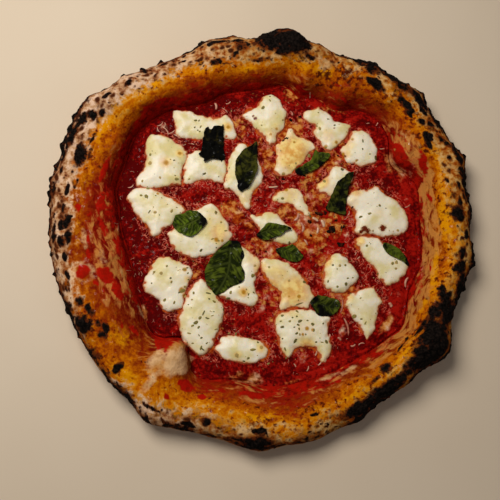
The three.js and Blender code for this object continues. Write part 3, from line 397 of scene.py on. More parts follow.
# Places where shredded cheese has melted into the sauce as pale pink curds, like WARM_PATCHES.
CURDLED_SAUCE = [
    (39, 4, 7, 0.6), (42, -5, 6, 0.4), (34, -2, 5, 0.4), (30, 9, 6, 0.7), (26, -6, 5, 0.3), (20, 14, 5, 0.5), (-17, 14, 4, 0.5),
    (-22, 22, 4, 0.4), (8, 34, 3, 0.5), (38, 20, 5, 0.5), (34, 26, 4, 0.5), (14, 80, 3, 0.5), (24, 82, 4, 0.5), (2, 62, 4, 0.5),
    (4, 54, 4, 0.5), (55, 52, 4, 0.5), (8, 16, 4, 0.5), (-12, 6, 4, 0.4), (4, -14, 5, 0.5), (-4, -12, 3, 0.4), (12, -44, 3, 0.5),
    (-1, -56, 4, 0.5), (3, -48, 3, 0.5), (-24, -60, 3, 0.4), (-30, -73, 3, 0.5), (54, -48, 4, 0.5), (60, -60, 3, 0.5), (56, -72, 4, 0.6),
    (28, -90, 4, 0.5), (10, -92, 3, 0.4), (-62, 66, 3, 0.4), (-72, 75, 4, 0.6), (-24, 62, 3, 0.4), (86, 44, 3, 0.3), (96, -44, 4, 0.4),
    (64, 8, 3, 0.4), (60, -2, 3, 0.4), (34, -16, 4, 0.4), (-46, -26, 3, 0.3), (-86, -2, 3, 0.3),
]

# Flakes of dried herb: (x, y, length, width, direction of the length, tint from dark green 0 to tan 1).
HERB_FLAKES = [
    (-49, 80.4, 2.6, 1.2, 20, 0.35), (-46.6, 80.4, 1.6, 0.9, 60, 0.3), (-49.6, 75, 1.6, 0.8, 40, 0.25), (-45.4, 75.4, 1.9, 0.8, 70, 0.4),
    (-47.4, 73, 1.2, 0.7, 0, 0.3), (-46, 72, 1.4, 0.8, 30, 0.5), (-64, 49.6, 1.4, 0.8, 10, 0.1), (-81, 53.6, 2, 1.3, 80, 0.45),
    (-81, 47.4, 2.4, 2, 100, 0.6), (-73.6, 36.6, 1.7, 1.1, 120, 0.7), (-86, 34, 1.9, 1.1, 60, 0.75), (-62, 36, 2.6, 1.6, 10, 0.45),
    (-63, 38.4, 1.2, 0.8, 0, 0.4), (-82, 29, 2.5, 1.8, 30, 0.5), (-83, 22.4, 3.1, 1.9, 125, 0.35), (-86.6, 23, 1.6, 1.3, 0, 0.5),
    (-80.4, 11.4, 2.7, 0.8, 55, 0.25), (-76.4, 11, 2.1, 1.4, 10, 0.8), (-65, 12.2, 2.4, 1.5, 70, 0.5), (-61.4, 15, 1.2, 0.8, 0, 0.5),
    (-42, 40.4, 2.7, 1.2, 15, 0.25), (-53, 36.4, 1.7, 1, 20, 0.75), (-24.6, 30.4, 1.3, 0.9, 0, 0.4), (0, 91.6, 2.7, 1.8, 35, 0.3),
    (14.6, 82.6, 1.7, 0.9, 20, 0.6), (5.4, 97, 1.3, 0.8, 90, 0.5), (5.4, 100.8, 1.3, 0.8, 0, 0.3), (-1, 78, 1, 0.7, 0, 0.4),
    (48.2, 84.2, 2, 0.7, 5, 0.15), (53, 79.6, 1.8, 1.1, 20, 0.2), (41.8, 76.6, 2.4, 1.2, 110, 0.5), (40, 79, 1.6, 0.9, 130, 0.4),
    (46.4, 62.6, 1.5, 1.2, 0, 0.55), (41, 89, 1.1, 0.8, 0, 0.4), (73.4, 67.4, 2.6, 0.9, 95, 0.1), (73, 61.2, 2, 0.8, 90, 0.1),
    (83, 55.6, 3.4, 1.6, 100, 0.15), (78.4, 57.8, 1.2, 0.8, 0, 0.3), (24, 50, 1.6, 1.2, 0, 0.6), (34, 56.4, 2.6, 2, 60, 0.45),
    (15, 42, 2.2, 1.2, 10, 0.6), (32, 44, 1.2, 0.8, 0, 0.4), (58, 46, 2.9, 1.7, 10, 0.2), (44.6, 36.8, 2.2, 2, 0, 0.35),
    (84, 18.8, 1.9, 1.4, 0, 0.45), (76.4, 12.6, 2.5, 1.3, 10, 0.45), (70.2, 10.4, 2.4, 1.3, 15, 0.2), (97, 1, 1.9, 1.4, 0, 0.8),
    (74, -10.6, 1.7, 1.3, 80, 0.25), (92, -23.2, 2, 1.6, 60, 0.55), (95.2, -22.2, 2.6, 1.5, 100, 0.5), (94.4, -27, 1.7, 1.2, 20, 0.6),
    (81.8, -30.4, 1.5, 0.9, 60, 0.4), (49.2, -25, 1.6, 1.3, 80, 0.15), (54, -25.6, 2, 1.3, 70, 0.65), (58, -25, 1.7, 1.1, 40, 0.6),
    (59.6, -34.4, 1.7, 0.9, 10, 0.3), (63, -34, 1.3, 0.7, 0, 0.4), (58, -38.6, 2.5, 1.8, 40, 0.3), (52, -40.4, 1.9, 1.2, 20, 0.5),
    (45.6, -36.6, 2, 0.9, 70, 0.5), (52, -28, 0.9, 0.7, 0, 0.5), (63.8, -61, 3, 2, 30, 0.5), (68.4, -63, 1.8, 1, 0, 0.25),
    (71.2, -65.8, 2.2, 0.8, 60, 0.4), (62, -45, 1.4, 0.9, 0, 0.5), (68.4, -48.4, 1.6, 0.8, 30, 0.5), (23.4, -58, 2.6, 1.2, 120, 0.25),
    (13, -61, 2.4, 1.5, 15, 0.25), (20, -62.4, 1.2, 0.8, 0, 0.2), (23, -61.6, 1.3, 1.1, 0, 0.1), (12, -65, 1.5, 0.7, 10, 0.2),
    (18, -65, 1.8, 1.2, 20, 0.6), (25, -65, 3.4, 1.7, 25, 0.25), (23.6, -67.4, 2, 1.2, 160, 0.3), (30.4, -64.4, 1.4, 0.8, 0, 0.4),
    (34, -67, 2.6, 1.8, 160, 0.35), (34.8, -71, 2.6, 1, 85, 0.45), (13, -69, 2.5, 1.5, 10, 0.25), (21, -69.2, 1.4, 0.7, 20, 0.2),
    (24.4, -70.4, 2, 1, 100, 0.4), (22.8, -73.4, 2.3, 1.4, 30, 0.15), (25, -74, 1.6, 0.9, 100, 0.4), (29, -74, 1.5, 0.9, 120, 0.35),
    (13, -77, 1.2, 1, 0, 0.1), (21.8, -78.4, 3.8, 1.3, 65, 0.1), (14.8, -84, 2.6, 0.9, 110, 0.5), (36.2, -79.2, 1.8, 1, 10, 0.25),
    (40.4, -79.4, 1.8, 0.6, 0, 0.4), (43.6, -78.8, 3, 1.8, 120, 0.2), (41.4, -66.4, 1.5, 1, 60, 0.3), (16, -90, 1.6, 0.9, 40, 0.4),
    (25, -52.6, 5.4, 0.7, 22, 0.1), (18, -36.4, 1.6, 1.3, 0, 0.65), (29, -37.2, 2.1, 1.8, 0, 0.15), (4, -27, 1.6, 1.2, 0, 0.7),
    (-7.4, -33, 3, 1.9, 20, 0.35), (-6, -26, 1.9, 1.1, 20, 0.75), (-23, -45.2, 2.2, 1.4, 70, 0.45), (-24.6, -49.2, 3.2, 1.3, 5, 0.35),
    (-12, -43, 1.2, 0.8, 80, 0.3), (-10.4, -46.4, 1.8, 0.7, 70, 0.25), (-6.8, -45, 1.5, 0.9, 150, 0.15), (-17, -41.4, 1.2, 0.8, 0, 0.5),
    (-43.8, -15.6, 2.4, 1.2, 35, 0.3), (-36, -7.4, 2, 0.9, 30, 0.6), (-31.6, -8.4, 1.8, 0.9, 150, 0.45), (-33.8, 11.8, 2.6, 1.3, 100, 0.3),
    (-30, 4.6, 1.2, 0.8, 40, 0.6), (-26.6, -1.2, 1.9, 0.8, 10, 0.4), (-33.2, -13.4, 1, 0.8, 0, 0.1), (-67.4, -27.4, 1.7, 1.2, 60, 0.5),
    (-76, -31.6, 1.8, 1.4, 40, 0.45), (-71.2, -32.4, 2.2, 1.6, 100, 0.55), (-64.6, -35.8, 1.4, 1.1, 0, 0.1), (-64, -38.6, 1.9, 1.1, 70, 0.5),
    (-77.6, -39.4, 1, 0.8, 0, 0.2), (-56.4, -44.4, 3.4, 2.2, 30, 0.4), (-58.6, -45.6, 1.8, 1, 40, 0.3), (-54.4, -48, 2, 1.1, 80, 0.6),
    (-68.4, -51, 2.2, 1.4, 60, 0.5), (-61.8, -52.6, 2, 1, 70, 0.4), (-53.4, -28.2, 1.8, 0.9, 20, 0.25), (-55.6, -29.4, 2.4, 1, 10, 0.5),
    (-52.8, -32, 1.6, 0.9, 50, 0.35), (-52.4, -36.4, 1.3, 0.7, 0, 0.4), (-54.6, -41.6, 2.2, 1.3, 150, 0.5), (-48.6, -45.8, 2, 1.3, 100, 0.35),
    (-38.6, -46, 3.4, 1.1, 165, 0.25), (-37.8, -50, 1.4, 0.9, 0, 0.2), (-34.2, -51.8, 2.7, 1.3, 160, 0.45), (-41.4, -59.6, 3.8, 0.9, 65, 0.2),
    (-44, -63.4, 2.7, 1.7, 40, 0.45), (-46.6, -66.4, 3.4, 1.8, 25, 0.25), (-39, -63.4, 2.5, 0.9, 165, 0.15), (-49, -68.6, 2.2, 1.1, 30, 0.4),
    (-44.8, -69.6, 2, 1, 60, 0.35), (-51.4, -73.8, 2.6, 0.9, 170, 0.5), (-42.8, -76.8, 1.7, 1, 20, 0.3), (-44.6, -75, 1.5, 0.6, 120, 0.4),
    (-32.8, -70.8, 2.2, 0.9, 20, 0.5), (-39.2, -80.4, 1.7, 0.7, 40, 0.35), (-43, -83.6, 2.8, 1, 70, 0.25), (-41.8, -84.6, 2.4, 0.8, 140, 0.25),
    (-28, -57, 1.8, 1, 80, 0.35), (-48.8, -80.4, 1.8, 0.8, 10, 0.6), (-49.6, -50.6, 1.5, 0.9, 0, 0.6), (-35.4, -61.6, 2, 0.6, 10, 0.5),
    (-18.4, -88.6, 2.4, 2, 90, 0.7), (-7.4, -84.6, 3.4, 1.6, 10, 0.4), (-1.8, -83, 1.8, 1.4, 0, 0.8), (-10.6, -90.4, 2.1, 1.3, 20, 0.25),
    (-13.6, -92.4, 2.1, 0.8, 160, 0.2), (-9, -77, 2.6, 0.9, 10, 0.4), (-24, -73.4, 1.6, 0.8, 40, 0.5), (-19, -73.6, 2, 1.1, 60, 0.45),
    (-4, -79.6, 1.5, 0.9, 0, 0.3), (14, 23.4, 1.8, 1.3, 0, 0.35), (18.6, -8.6, 1.8, 1.3, 60, 0.45), (34, 11, 2.2, 1.1, 120, 0.05),
    (56.6, 2, 1.2, 3, 0, 0.2), (3.4, -94, 2.2, 1, 30, 0.4),
]

# Larger shreds of cheese that lie on the sauce: (x, y, length, width, direction, bend, pinkness).
CHEESE_SHREDS = [
    (7.6, 32.2, 7, 1.1, 6, 0.05, 0.25), (59.4, -68, 13, 1.4, 103, 0.1, 0.7),
    (56, -54, 11, 1.1, 80, 0.1, 0.85), (102, -36, 8, 1.6, 75, -0.15, 0.5),
    (90.6, -52.4, 4, 2.4, 120, 0.2, 0.55), (63, -81.6, 4, 1.2, 20, 0.2, 0.6),
    (68.6, -79.6, 5, 0.8, 15, -0.2, 0.6), (53.6, -76.4, 3.4, 1.8, 140, 0.2, 0.7),
    (46.6, -75, 3.6, 1.2, 70, 0.2, 0.6), (-34, 93, 5.6, 1.8, 100, 0.15, 0.55),
    (-25, 95.4, 4.4, 0.9, 30, 0.2, 0.55), (-27.6, 90.4, 6, 0.8, 140, 0.1, 0.7),
    (-70, 73.4, 8, 1, 128, 0.15, 0.55), (-74, 77.4, 6, 0.9, 40, 0.2, 0.6),
    (-76.4, 73.6, 5, 0.8, 110, -0.2, 0.6), (-71, 77, 5, 0.7, 80, 0.2, 0.6),
    (-66, 71.6, 6, 0.8, 30, 0.1, 0.6), (-62, 69, 6, 0.9, 150, 0.1, 0.5),
    (-94, 30, 5, 0.8, 30, 0.2, 0.5), (88.6, 63, 4.2, 0.8, 10, 0.1, 0.6),
    (85.6, 82.4, 3, 0.8, 60, 0.1, 0.5), (22, 89, 4, 1.4, 110, 0.2, 0.85),
    (78.6, 82.8, 2.4, 0.6, 10, 0, 0.5), (64, 20.4, 1, 1, 0, 0, 0.5),
    (62.6, 13.6, 4, 0.7, 70, 0.2, 0.6), (60.6, 10, 4, 0.6, 50, 0.2, 0.6),
    (106, 19.6, 5, 0.9, 30, 0.1, 0.6), (66.6, -16, 3, 0.8, 70, 0.1, 0.6),
    (68.6, -19, 3, 0.9, 40, 0.1, 0.6), (-86, 5, 3, 0.8, 100, 0.1, 0.6),
    (37, -86.4, 5, 1, 75, 0.1, 0.5), (40, -93, 6, 0.9, 60, 0.15, 0.45),
    (22, -95, 3, 0.9, 120, 0.1, 0.6), (31, -97.4, 4, 0.9, 70, 0.1, 0.5),
    (-57, 62.4, 3, 0.6, 20, 0.1, 0.5), (-51, 63.4, 3, 0.6, 160, 0.1, 0.5),
    (35.4, 103, 2.6, 1, 110, 0.1, 0.4), (5.6, 25.4, 3.4, 0.7, 60, 0.1, 0.6),
    (39.6, 0.6, 5, 1.8, 80, 0.1, 0.35), (43.6, 6, 6, 2.4, 110, 0.1, 0.3),
    (38, 9, 5, 2, 150, 0.1, 0.3), (25, 9.6, 7, 2, 60, 0.2, 0.6),
    (29, 3, 8, 2, 100, 0.2, 0.6), (24, -4, 6, 1.6, 70, 0.1, 0.65), (31, -8, 5, 1.4, 120, 0.1, 0.6),
]

# Burnt crumbs: (x, y, length, width, direction).
BURNT_CRUMBS = [
    (50.6, 1.6, 6, 4.6, 20), (47.4, -0.6, 3, 2.4, 80), (56, -9.6, 6, 3, 10),
    (52.6, 8, 2.2, 1.4, 40), (40.6, 12.4, 5, 2.4, 150), (45, 13.6, 3.4, 2, 100),
    (33.6, 7, 3, 2.2, 60), (34.4, -3, 2.2, 1.6, 90), (57.6, 3.4, 3.6, 1.8, 80),
    (14.4, 38.4, 2.6, 1.6, 0), (2.4, -15.4, 1.8, 1.2, 0), (15.4, 67.4, 2, 1.2, 60),
    (20.6, 83.6, 3, 1.6, 120), (17.6, 69, 2.6, 1.2, 40), (27.6, 86.6, 2.4, 1.2, 0),
    (55.6, 57, 1.8, 1.2, 0), (30.6, 41, 1.6, 1, 0), (64.6, 18, 1.6, 1, 60),
]

# Places in the sauce where melted fat and cheese have turned it orange, like WARM_PATCHES.
ORANGE_SAUCE = [
    (17, 80, 8, 0.75), (16, 72, 6, 0.8), (26, 78, 8, 0.6), (2, 58, 6, 0.8),
    (5, 50, 6, 0.7), (-3, 66, 6, 0.5), (10, 45, 6, 0.6), (50, 53, 9, 0.7), (60, 52, 6, 0.5),
    (38, 60, 5, 0.6), (37, 42, 7, 0.7), (40, 28, 8, 0.75), (36, 20, 7, 0.7),
    (30, 8, 11, 0.9), (38, -2, 11, 0.9), (28, -8, 8, 0.8), (45, 5, 8, 0.7), (52, 12, 7, 0.55),
    (54, 2, 8, 0.6), (20, 15, 8, 0.7), (12, 12, 6, 0.6), (-10, 4, 6, 0.7),
    (-18, 9, 6, 0.8), (-24, 17, 7, 0.8), (-14, 20, 5, 0.5), (-2, -10, 8, 0.6), (6, -14, 9, 0.65),
    (-8, -12, 6, 0.5), (-3, -50, 6, 0.5), (10, -50, 6, 0.6), (4, -42, 5, 0.6),
    (40, -20, 6, 0.6), (38, -30, 5, 0.5), (62, -45, 8, 0.8), (52, -46, 5, 0.6), (57, -54, 6, 0.5),
    (-32, -72, 4, 0.8), (-36, -84, 4, 0.8), (-50, -34, 5, 0.7), (-47, -30, 5, 0.5),
    (-55, -20, 6, 0.4), (-48, -22, 6, 0.4), (8, -62, 5, 0.5), (10, -78, 4, 0.5), (70, -9, 5, 0.5),
    (24, 105, 8, 0.7), (50, 96, 7, 0.55), (60, 93, 5, 0.4), (66, 30, 5, 0.7),
    (-20, 81, 5, 0.6), (-15, 74, 6, 0.65), (-14, 84, 5, 0.5), (-26, 46, 3, 0.9),
    (-27, 38, 3, 0.9), (-54, 48, 3, 0.7), (-57, 40, 3, 0.7), (30, -86, 6, 0.4),
    (63, 70, 3, 0.7), (58, 66, 3, 0.7), (-52, 68, 5, 0.3), (-16, 30, 6, 0.5), (30, 33, 7, 0.4),
]

# ---- Small tools ----------------------------------------------------------------------------------


def linear(code):
    """An sRGB hex colour as a linear colour with alpha."""
    parts = [int(code[i:i + 2], 16) / 255 for i in (1, 3, 5)]
    return tuple(p / 12.92 if p <= 0.04045 else ((p + 0.055) / 1.055) ** 2.4 for p in parts) + (1.0,)


def eased(low, high, values):
    """0 below low, 1 above high and a soft step between."""
    part = np.clip((values - low) / (high - low), 0, 1)
    return part * part * (3 - 2 * part)


def grain(points, size, seed):
    """Smooth chance values from -1 to 1 that change over about size millimetres."""
    scaled = points / size + 37.31 * (seed + 1)
    cell = np.floor(scaled).astype(np.int64)
    part = scaled - cell
    part = part * part * (3 - 2 * part)
    total = np.zeros(points.shape[:-1])
    for corner in itertools.product((0, 1), repeat=3):
        at = cell + np.array(corner)
        mixed = at[..., 0] * 73856093 ^ at[..., 1] * 19349663 ^ at[..., 2] * 83492791
        mixed = (mixed ^ (mixed >> 13)) * 1274126177 & 0x7FFFFFFF
        value = ((mixed ^ (mixed >> 15)) & 0xFFFF) / 32767.5 - 1
        total += value * np.prod(np.where(corner, part, 1 - part), axis=-1)
    return total


def rough(points, size, seed, octaves=3):
    """Several sizes of grain together, each half as large and half as strong as the one before."""
    total = np.zeros(points.shape[:-1])
    for octave in range(octaves):
        total += grain(points, size / 2 ** octave, seed + octave) / 2 ** octave
    return total / 1.5


def turn_between(a, b):
    return (a - b + 180) % 360 - 180


def spline(p0, p1, p2, p3, t):
    """A place between p1 and p2 on a smooth curve through four points."""
    return 0.5 * (2 * p1 + (p2 - p0) * t + (2 * p0 - 5 * p1 + 4 * p2 - p3) * t ** 2
                  + (3 * p1 - p0 - 3 * p2 + p3) * t ** 3)


def curve_through(rows, steps):
    """A smooth curve through rows of points, with steps points to each gap."""
    padded = np.concatenate([2 * rows[:1] - rows[1:2], rows, 2 * rows[-1:] - rows[-2:-1]])
    t = (np.arange(steps) / steps).reshape(1, steps, *([1] * (rows.ndim - 1)))
    around = [padded[i:len(padded) - 3 + i, None] for i in range(4)]
    return np.concatenate([spline(*around, t).reshape(-1, *rows.shape[1:]), rows[-1:]])


def closed_curve(corners, steps):
    """A smooth closed curve through given corners."""
    rows = np.array(corners, dtype=float)
    t = (np.arange(steps) / steps).reshape(1, steps, 1)
    around = [np.roll(rows, shift, axis=0)[:, None] for shift in (1, 0, -1, -2)]
    return spline(*around, t).reshape(-1, 2)


def depth_inside(outline, x, y):
    """How far each place lies inside a closed outline, in millimetres, and less than 0 outside it."""
    place = np.stack([x, y], axis=-1)[:, None]
    way = (np.roll(outline, -1, axis=0) - outline)[None]
    start = outline[None]
    part = np.clip(((place - start) * way).sum(-1) / (way ** 2).sum(-1), 0, 1)
    nearest = np.linalg.norm(place - start - part[..., None] * way, axis=-1).min(axis=1)
    above = outline[None, :, 1] > y[:, None]
    slope = way[..., 0] / np.where(way[..., 1] == 0, 1e-9, way[..., 1])
    crossing = start[..., 0] + (y[:, None] - start[..., 1]) * slope
    crossed = (above != np.roll(above, -1, axis=1)) & (x[:, None] < crossing)
    return np.where(crossed.sum(axis=1) % 2 == 1, nearest, -nearest)


def fill_outline(corners, spacing, ragged):
    """A net of small squares inside an outline: its corners, their depth inside, its squares and its edge."""
    outline = closed_curve(corners, 5)
    low = outline.min(axis=0) - 2 * spacing
    rows, columns = (np.ceil((outline.max(axis=0) - low) / spacing) + 3).astype(int)
    lines = low[0] + spacing * np.arange(rows), low[1] + spacing * np.arange(columns)
    x, y = (part.ravel() for part in np.meshgrid(*lines, indexing="ij"))
    depth = depth_inside(outline, x, y) + ragged(np.stack([x, y, 0 * x], axis=-1))
    field = depth.reshape(rows, columns)
    middle = (field[:-1, :-1] + field[1:, :-1] + field[:-1, 1:] + field[1:, 1:]) / 4
    i, j = np.nonzero(middle > 0)
    first = i * columns + j
    squares = np.stack([first, first + columns, first + columns + 1, first + 1], axis=1)
    ways = {(int(a), int(b)) for square in squares for a, b in zip(square, np.roll(square, -1))}
    edge = sorted(way for way in ways if way[::-1] not in ways)
    # The corners along the edge are pulled onto the outline itself.
    slope_x, slope_y = (part.ravel() for part in np.gradient(field, spacing))
    steep = np.maximum(slope_x ** 2 + slope_y ** 2, 0.25)
    rim = np.unique(np.array(edge))
    step = np.clip(depth[rim] / steep[rim], -spacing, spacing)
    x[rim] -= step * slope_x[rim]
    y[rim] -= step * slope_y[rim]
    depth[rim] = 0
    used = np.unique(squares)
    renumber = np.full(rows * columns, -1)
    renumber[used] = np.arange(len(used))
    return x[used], y[used], np.maximum(depth[used], 0), renumber[squares], renumber[np.array(edge)]


def sheet_body(top, bottom, squares, edge):
    """The points and faces of a closed thin body from its top and bottom corners."""
    count = len(top)
    faces = squares.tolist() + (squares[:, ::-1] + count).tolist()
    faces += [(int(a), int(a) + count, int(b) + count, int(b)) for a, b in edge]
    return np.concatenate([top, bottom]), faces


def make_piece(name, points, faces, material, nodes=(), masks=None):
    """A smooth mesh from points in millimetres, with its masks, riding on the pizza."""
    mesh = bpy.data.meshes.new(name)
    mesh.from_pydata((np.asarray(points) * MM).tolist(), [], faces)
    mesh.validate()
    for title, values in (masks or {}).items():
        kind, field = ("FLOAT_VECTOR", "vector") if np.ndim(values) == 2 else ("FLOAT", "value")
        layer = mesh.attributes.new(title, kind, "POINT")
        layer.data.foreach_set(field, np.ascontiguousarray(values, dtype=np.float32).ravel())
    mesh.polygons.foreach_set("use_smooth", [True] * len(mesh.polygons))
    mesh.materials.append(material)
    piece = bpy.data.objects.new(name, mesh)
    bpy.context.scene.collection.objects.link(piece)
    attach(piece, "root")
    if nodes:
        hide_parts(*nodes)
    return piece


def ring_faces(rings, spokes):
    """Faces of a closed body of rings whose first and last ring are single points, wound to face outwards."""
    after = [(j + 1) % spokes for j in range(spokes)]
    faces = [(0, 1 + j, 1 + after[j]) for j in range(spokes)]
    for start in range(1, 1 + (rings - 3) * spokes, spokes):
        outer = start + spokes
        faces += [(start + j, outer + j, outer + after[j], start + after[j]) for j in range(spokes)]
    start = 1 + (rings - 3) * spokes
    faces += [(start + j, start + spokes, start + after[j]) for j in range(spokes)]
    return faces


def node_corners(name):
    """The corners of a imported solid, in millimetres, each once."""
    data = frame["nodes"][name].data
    corners = np.zeros(len(data.vertices) * 3)
    data.vertices.foreach_get("co", corners)
    return np.unique(np.round(corners.reshape(-1, 3) / MM, 3), axis=0)


def surface_tree(*names):
    """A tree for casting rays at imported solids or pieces, in millimetres."""
    points = []
    faces = []
    for name in names:
        data = bpy.data.objects[name].data
        start = len(points)
        points.extend(v.co / MM for v in data.vertices)
        faces.extend([start + i for i in p.vertices] for p in data.polygons)
    return BVHTree.FromPolygons(points, faces)


def heights_at(tree, xs, ys, fallback=0.0):
    """The height of the surface over each place, or the fallback where there is none."""
    down = Vector((0, 0, -1))
    hits = (tree.ray_cast(Vector((x, y, 60)), down)[0] for x, y in zip(np.ravel(xs), np.ravel(ys)))
    return np.array([hit.z if hit else fallback for hit in hits]).reshape(np.shape(xs))


def patches_at(patches, xs, ys):
    """How strongly any of some soft round patches covers each place."""
    value = np.zeros(np.shape(xs))
    for x, y, radius, *strength in patches:
        reach = ((xs - x) ** 2 + (ys - y) ** 2) / radius ** 2
        value = np.maximum(value, (strength[0] if strength else 1.0) * np.exp(-reach ** 1.5))
    return value


def blots(size):
    """The noise scale that gives blots about size millimetres across."""
    return 1 / (2 * size * MM)


def add_node(tree, kind, inputs=None, stops=None, output=0, **settings):
    """Adds a node with its settings and links, and gives back an output, or the node if it has none."""
    node = tree.nodes.new("ShaderNode" + kind)
    for name, value in settings.items():
        setattr(node, name, value)
    for name, value in (inputs or {}).items():
        if isinstance(value, bpy.types.NodeSocket):
            tree.links.new(value, node.inputs[name])
        else:
            node.inputs[name].default_value = value
    if stops:
        ramp = node.color_ramp.elements
        while len(ramp) < len(stops):
            ramp.new(0.5)
        for element, (position, colour) in zip(ramp, stops):
            element.position = position
            element.color = colour
    return node.outputs[output] if node.outputs else node


def new_material(name):
    """An empty node material, its tree and its object coordinates."""
    material = bpy.data.materials.new(name)
    material.use_nodes = True
    tree = material.node_tree
    tree.nodes.clear()
    return material, tree, add_node(tree, "TexCoord", output="Object")


def broken_mask(tree, name, pattern, ragged, low, high):
    """A painted mask whose edge a pattern breaks up: 0 below low, 1 above high and soft between."""
    painted = add_node(tree, "Attribute", attribute_name=name, output="Fac")
    centred = add_node(tree, "Math", {0: pattern, 1: ragged, 2: -ragged / 2}, operation="MULTIPLY_ADD")
    mixed = add_node(tree, "Math", {0: painted, 1: centred}, operation="ADD")
    return add_node(tree, "MapRange", {"Value": mixed, "From Min": low, "From Max": high}, **SOFT)


# ---- The crust ------------------------------------------------------------------------------------

CRUST_SPOKES = 960
CRUST_ROWS = 93
SECTION_STEPS = 6
UNDER_RINGS = (0.97, 0.85, 0.68, 0.5, 0.32, 0.12)
MEAN_RIM = 125
DENT_REACH = 26


def crust_sections():
    """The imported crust's own corners as [spoke, step] rows of radius and height, with its middle."""
    corners = node_corners("crust")
    near = np.hypot(corners[:, 0], corners[:, 1]) < 20
    middle = corners[near].mean(axis=0)
    corners = corners[~near]
    radius = np.hypot(corners[:, 0] - middle[0], corners[:, 1] - middle[1])
    direction = np.degrees(np.arctan2(corners[:, 1] - middle[1], corners[:, 0] - middle[0])) % 360
    turned = np.round(direction, 1) % 360
    sections = []
    for spoke in np.argsort(turned, kind="stable").reshape(len(np.unique(turned)), -1):
        inside = radius[spoke].max() - 15
        turn = np.degrees(np.arctan2(corners[spoke, 2] - 6, inside - radius[spoke]))
        order = spoke[np.argsort(np.where(turn < -60, turn + 360, turn))]
        sections.append(np.stack([radius[order], corners[order, 2]], axis=1))
    return np.array(sections), middle


def spoke_directions():
    """The direction of each of the crust's fine sections."""
    return np.arange(CRUST_SPOKES) * 360 / CRUST_SPOKES


def crust_surface():
    """Smooth fine sections: radius, height and length along each section, and the middle of the crust."""
    sections, middle = crust_sections()
    spokes = len(sections)
    place = np.arange(CRUST_SPOKES) / CRUST_SPOKES * spokes
    before = np.floor(place).astype(int)
    around = [sections[(before + i) % spokes] for i in (-1, 0, 1, 2)]
    across = spline(*around, (place - before)[:, None, None])
    fine = curve_through(across.transpose(1, 0, 2), SECTION_STEPS).transpose(1, 0, 2)
    dent = np.zeros(CRUST_SPOKES)
    for direction, depth, spread in EDGE_DENTS:
        dent += depth * np.exp(-(turn_between(spoke_directions(), direction) / spread) ** 2)
    outer = fine[:, :, 0].max(axis=1, keepdims=True)
    fine[:, :, 0] -= dent[:, None] * eased(outer - DENT_REACH, outer, fine[:, :, 0])
    rows = []
    for section in fine:
        lengths = np.concatenate([[0], np.cumsum(np.hypot(*np.diff(section, axis=0).T))])
        even = np.linspace(0, lengths[-1], CRUST_ROWS)
        radius, height = (np.interp(even, lengths, column) for column in section.T)
        rows.append(np.stack([radius, height, even], axis=1))
    return np.array(rows), middle


def length_at(surface, radius):
    """How far along each section, from the inner foot, its upper side reaches a radius."""
    wanted = np.broadcast_to(radius, len(surface))
    found = []
    for section, reach in zip(surface, wanted):
        top = section[:np.argmax(section[:, 0]) + 1]
        found.append(np.interp(reach, np.maximum.accumulate(top[:, 0]), top[:, 2]))
    return np.array(found)


def round_table(table, directions, column=1):
    """A column of a table round the rim, read between its rows."""
    columns = np.array(table, dtype=float).T
    return np.interp(directions, columns[0], columns[column], period=360)


def marks_on(surface, directions, marks, wobble):
    """How strongly any of some listed marks covers each point of the rim."""
    value = np.zeros(surface.shape[:2])
    for direction, radius, half_length, half_width, strength, *_ in marks:
        turn = turn_between(directions, direction)
        near = np.abs(turn) < math.degrees(2.2 * half_length / radius) + 1.5
        part = surface[near]
        round_way = np.radians(turn[near])[:, None] * part[:, :, 0] + wobble[0][near]
        out_way = part[:, :, 2] - length_at(part, radius)[:, None] + wobble[1][near]
        reach = (round_way / half_length) ** 2 + (out_way / half_width) ** 2
        value[near] = np.maximum(value[near], strength * np.exp(-0.7 * reach ** 1.5))
    return value


def along_rim(surface, directions, length, width, seed):
    """Grain drawn out along the rim: about length millimetres that way and width millimetres across it."""
    turn = np.radians(directions)[:, None]
    reach = MEAN_RIM / length
    drawn = np.stack([np.cos(turn) * reach + 0 * surface[:, :, 2], np.sin(turn) * reach + 0 * surface[:, :, 2],
                      surface[:, :, 2] / width], axis=2)
    return rough(drawn, 1.0, seed)


def small_spots(surface, directions, settings):
    """Chance places for the small burnt spots of the floury part, as marks."""
    draw = np.random.default_rng(settings.spot_seed)
    outer = [(d, r) for d, r in zip(directions[::10], surface[::10, :, 0].max(axis=1))]
    spots = []
    for _ in range(settings.small_spots):
        direction = draw.uniform(0, 360)
        start = float(round_table(FLOUR_FROM, direction)) - 1
        radius = draw.uniform(start, float(round_table(outer, direction)) - 0.5)
        size = draw.uniform(0.5, 1.4)
        half_length = size * draw.uniform(0.8, 1.9)
        half_width = size * draw.uniform(0.7, 1.1)
        spots.append((direction, radius, half_length, half_width, draw.uniform(0.2, 0.55)))
    return spots


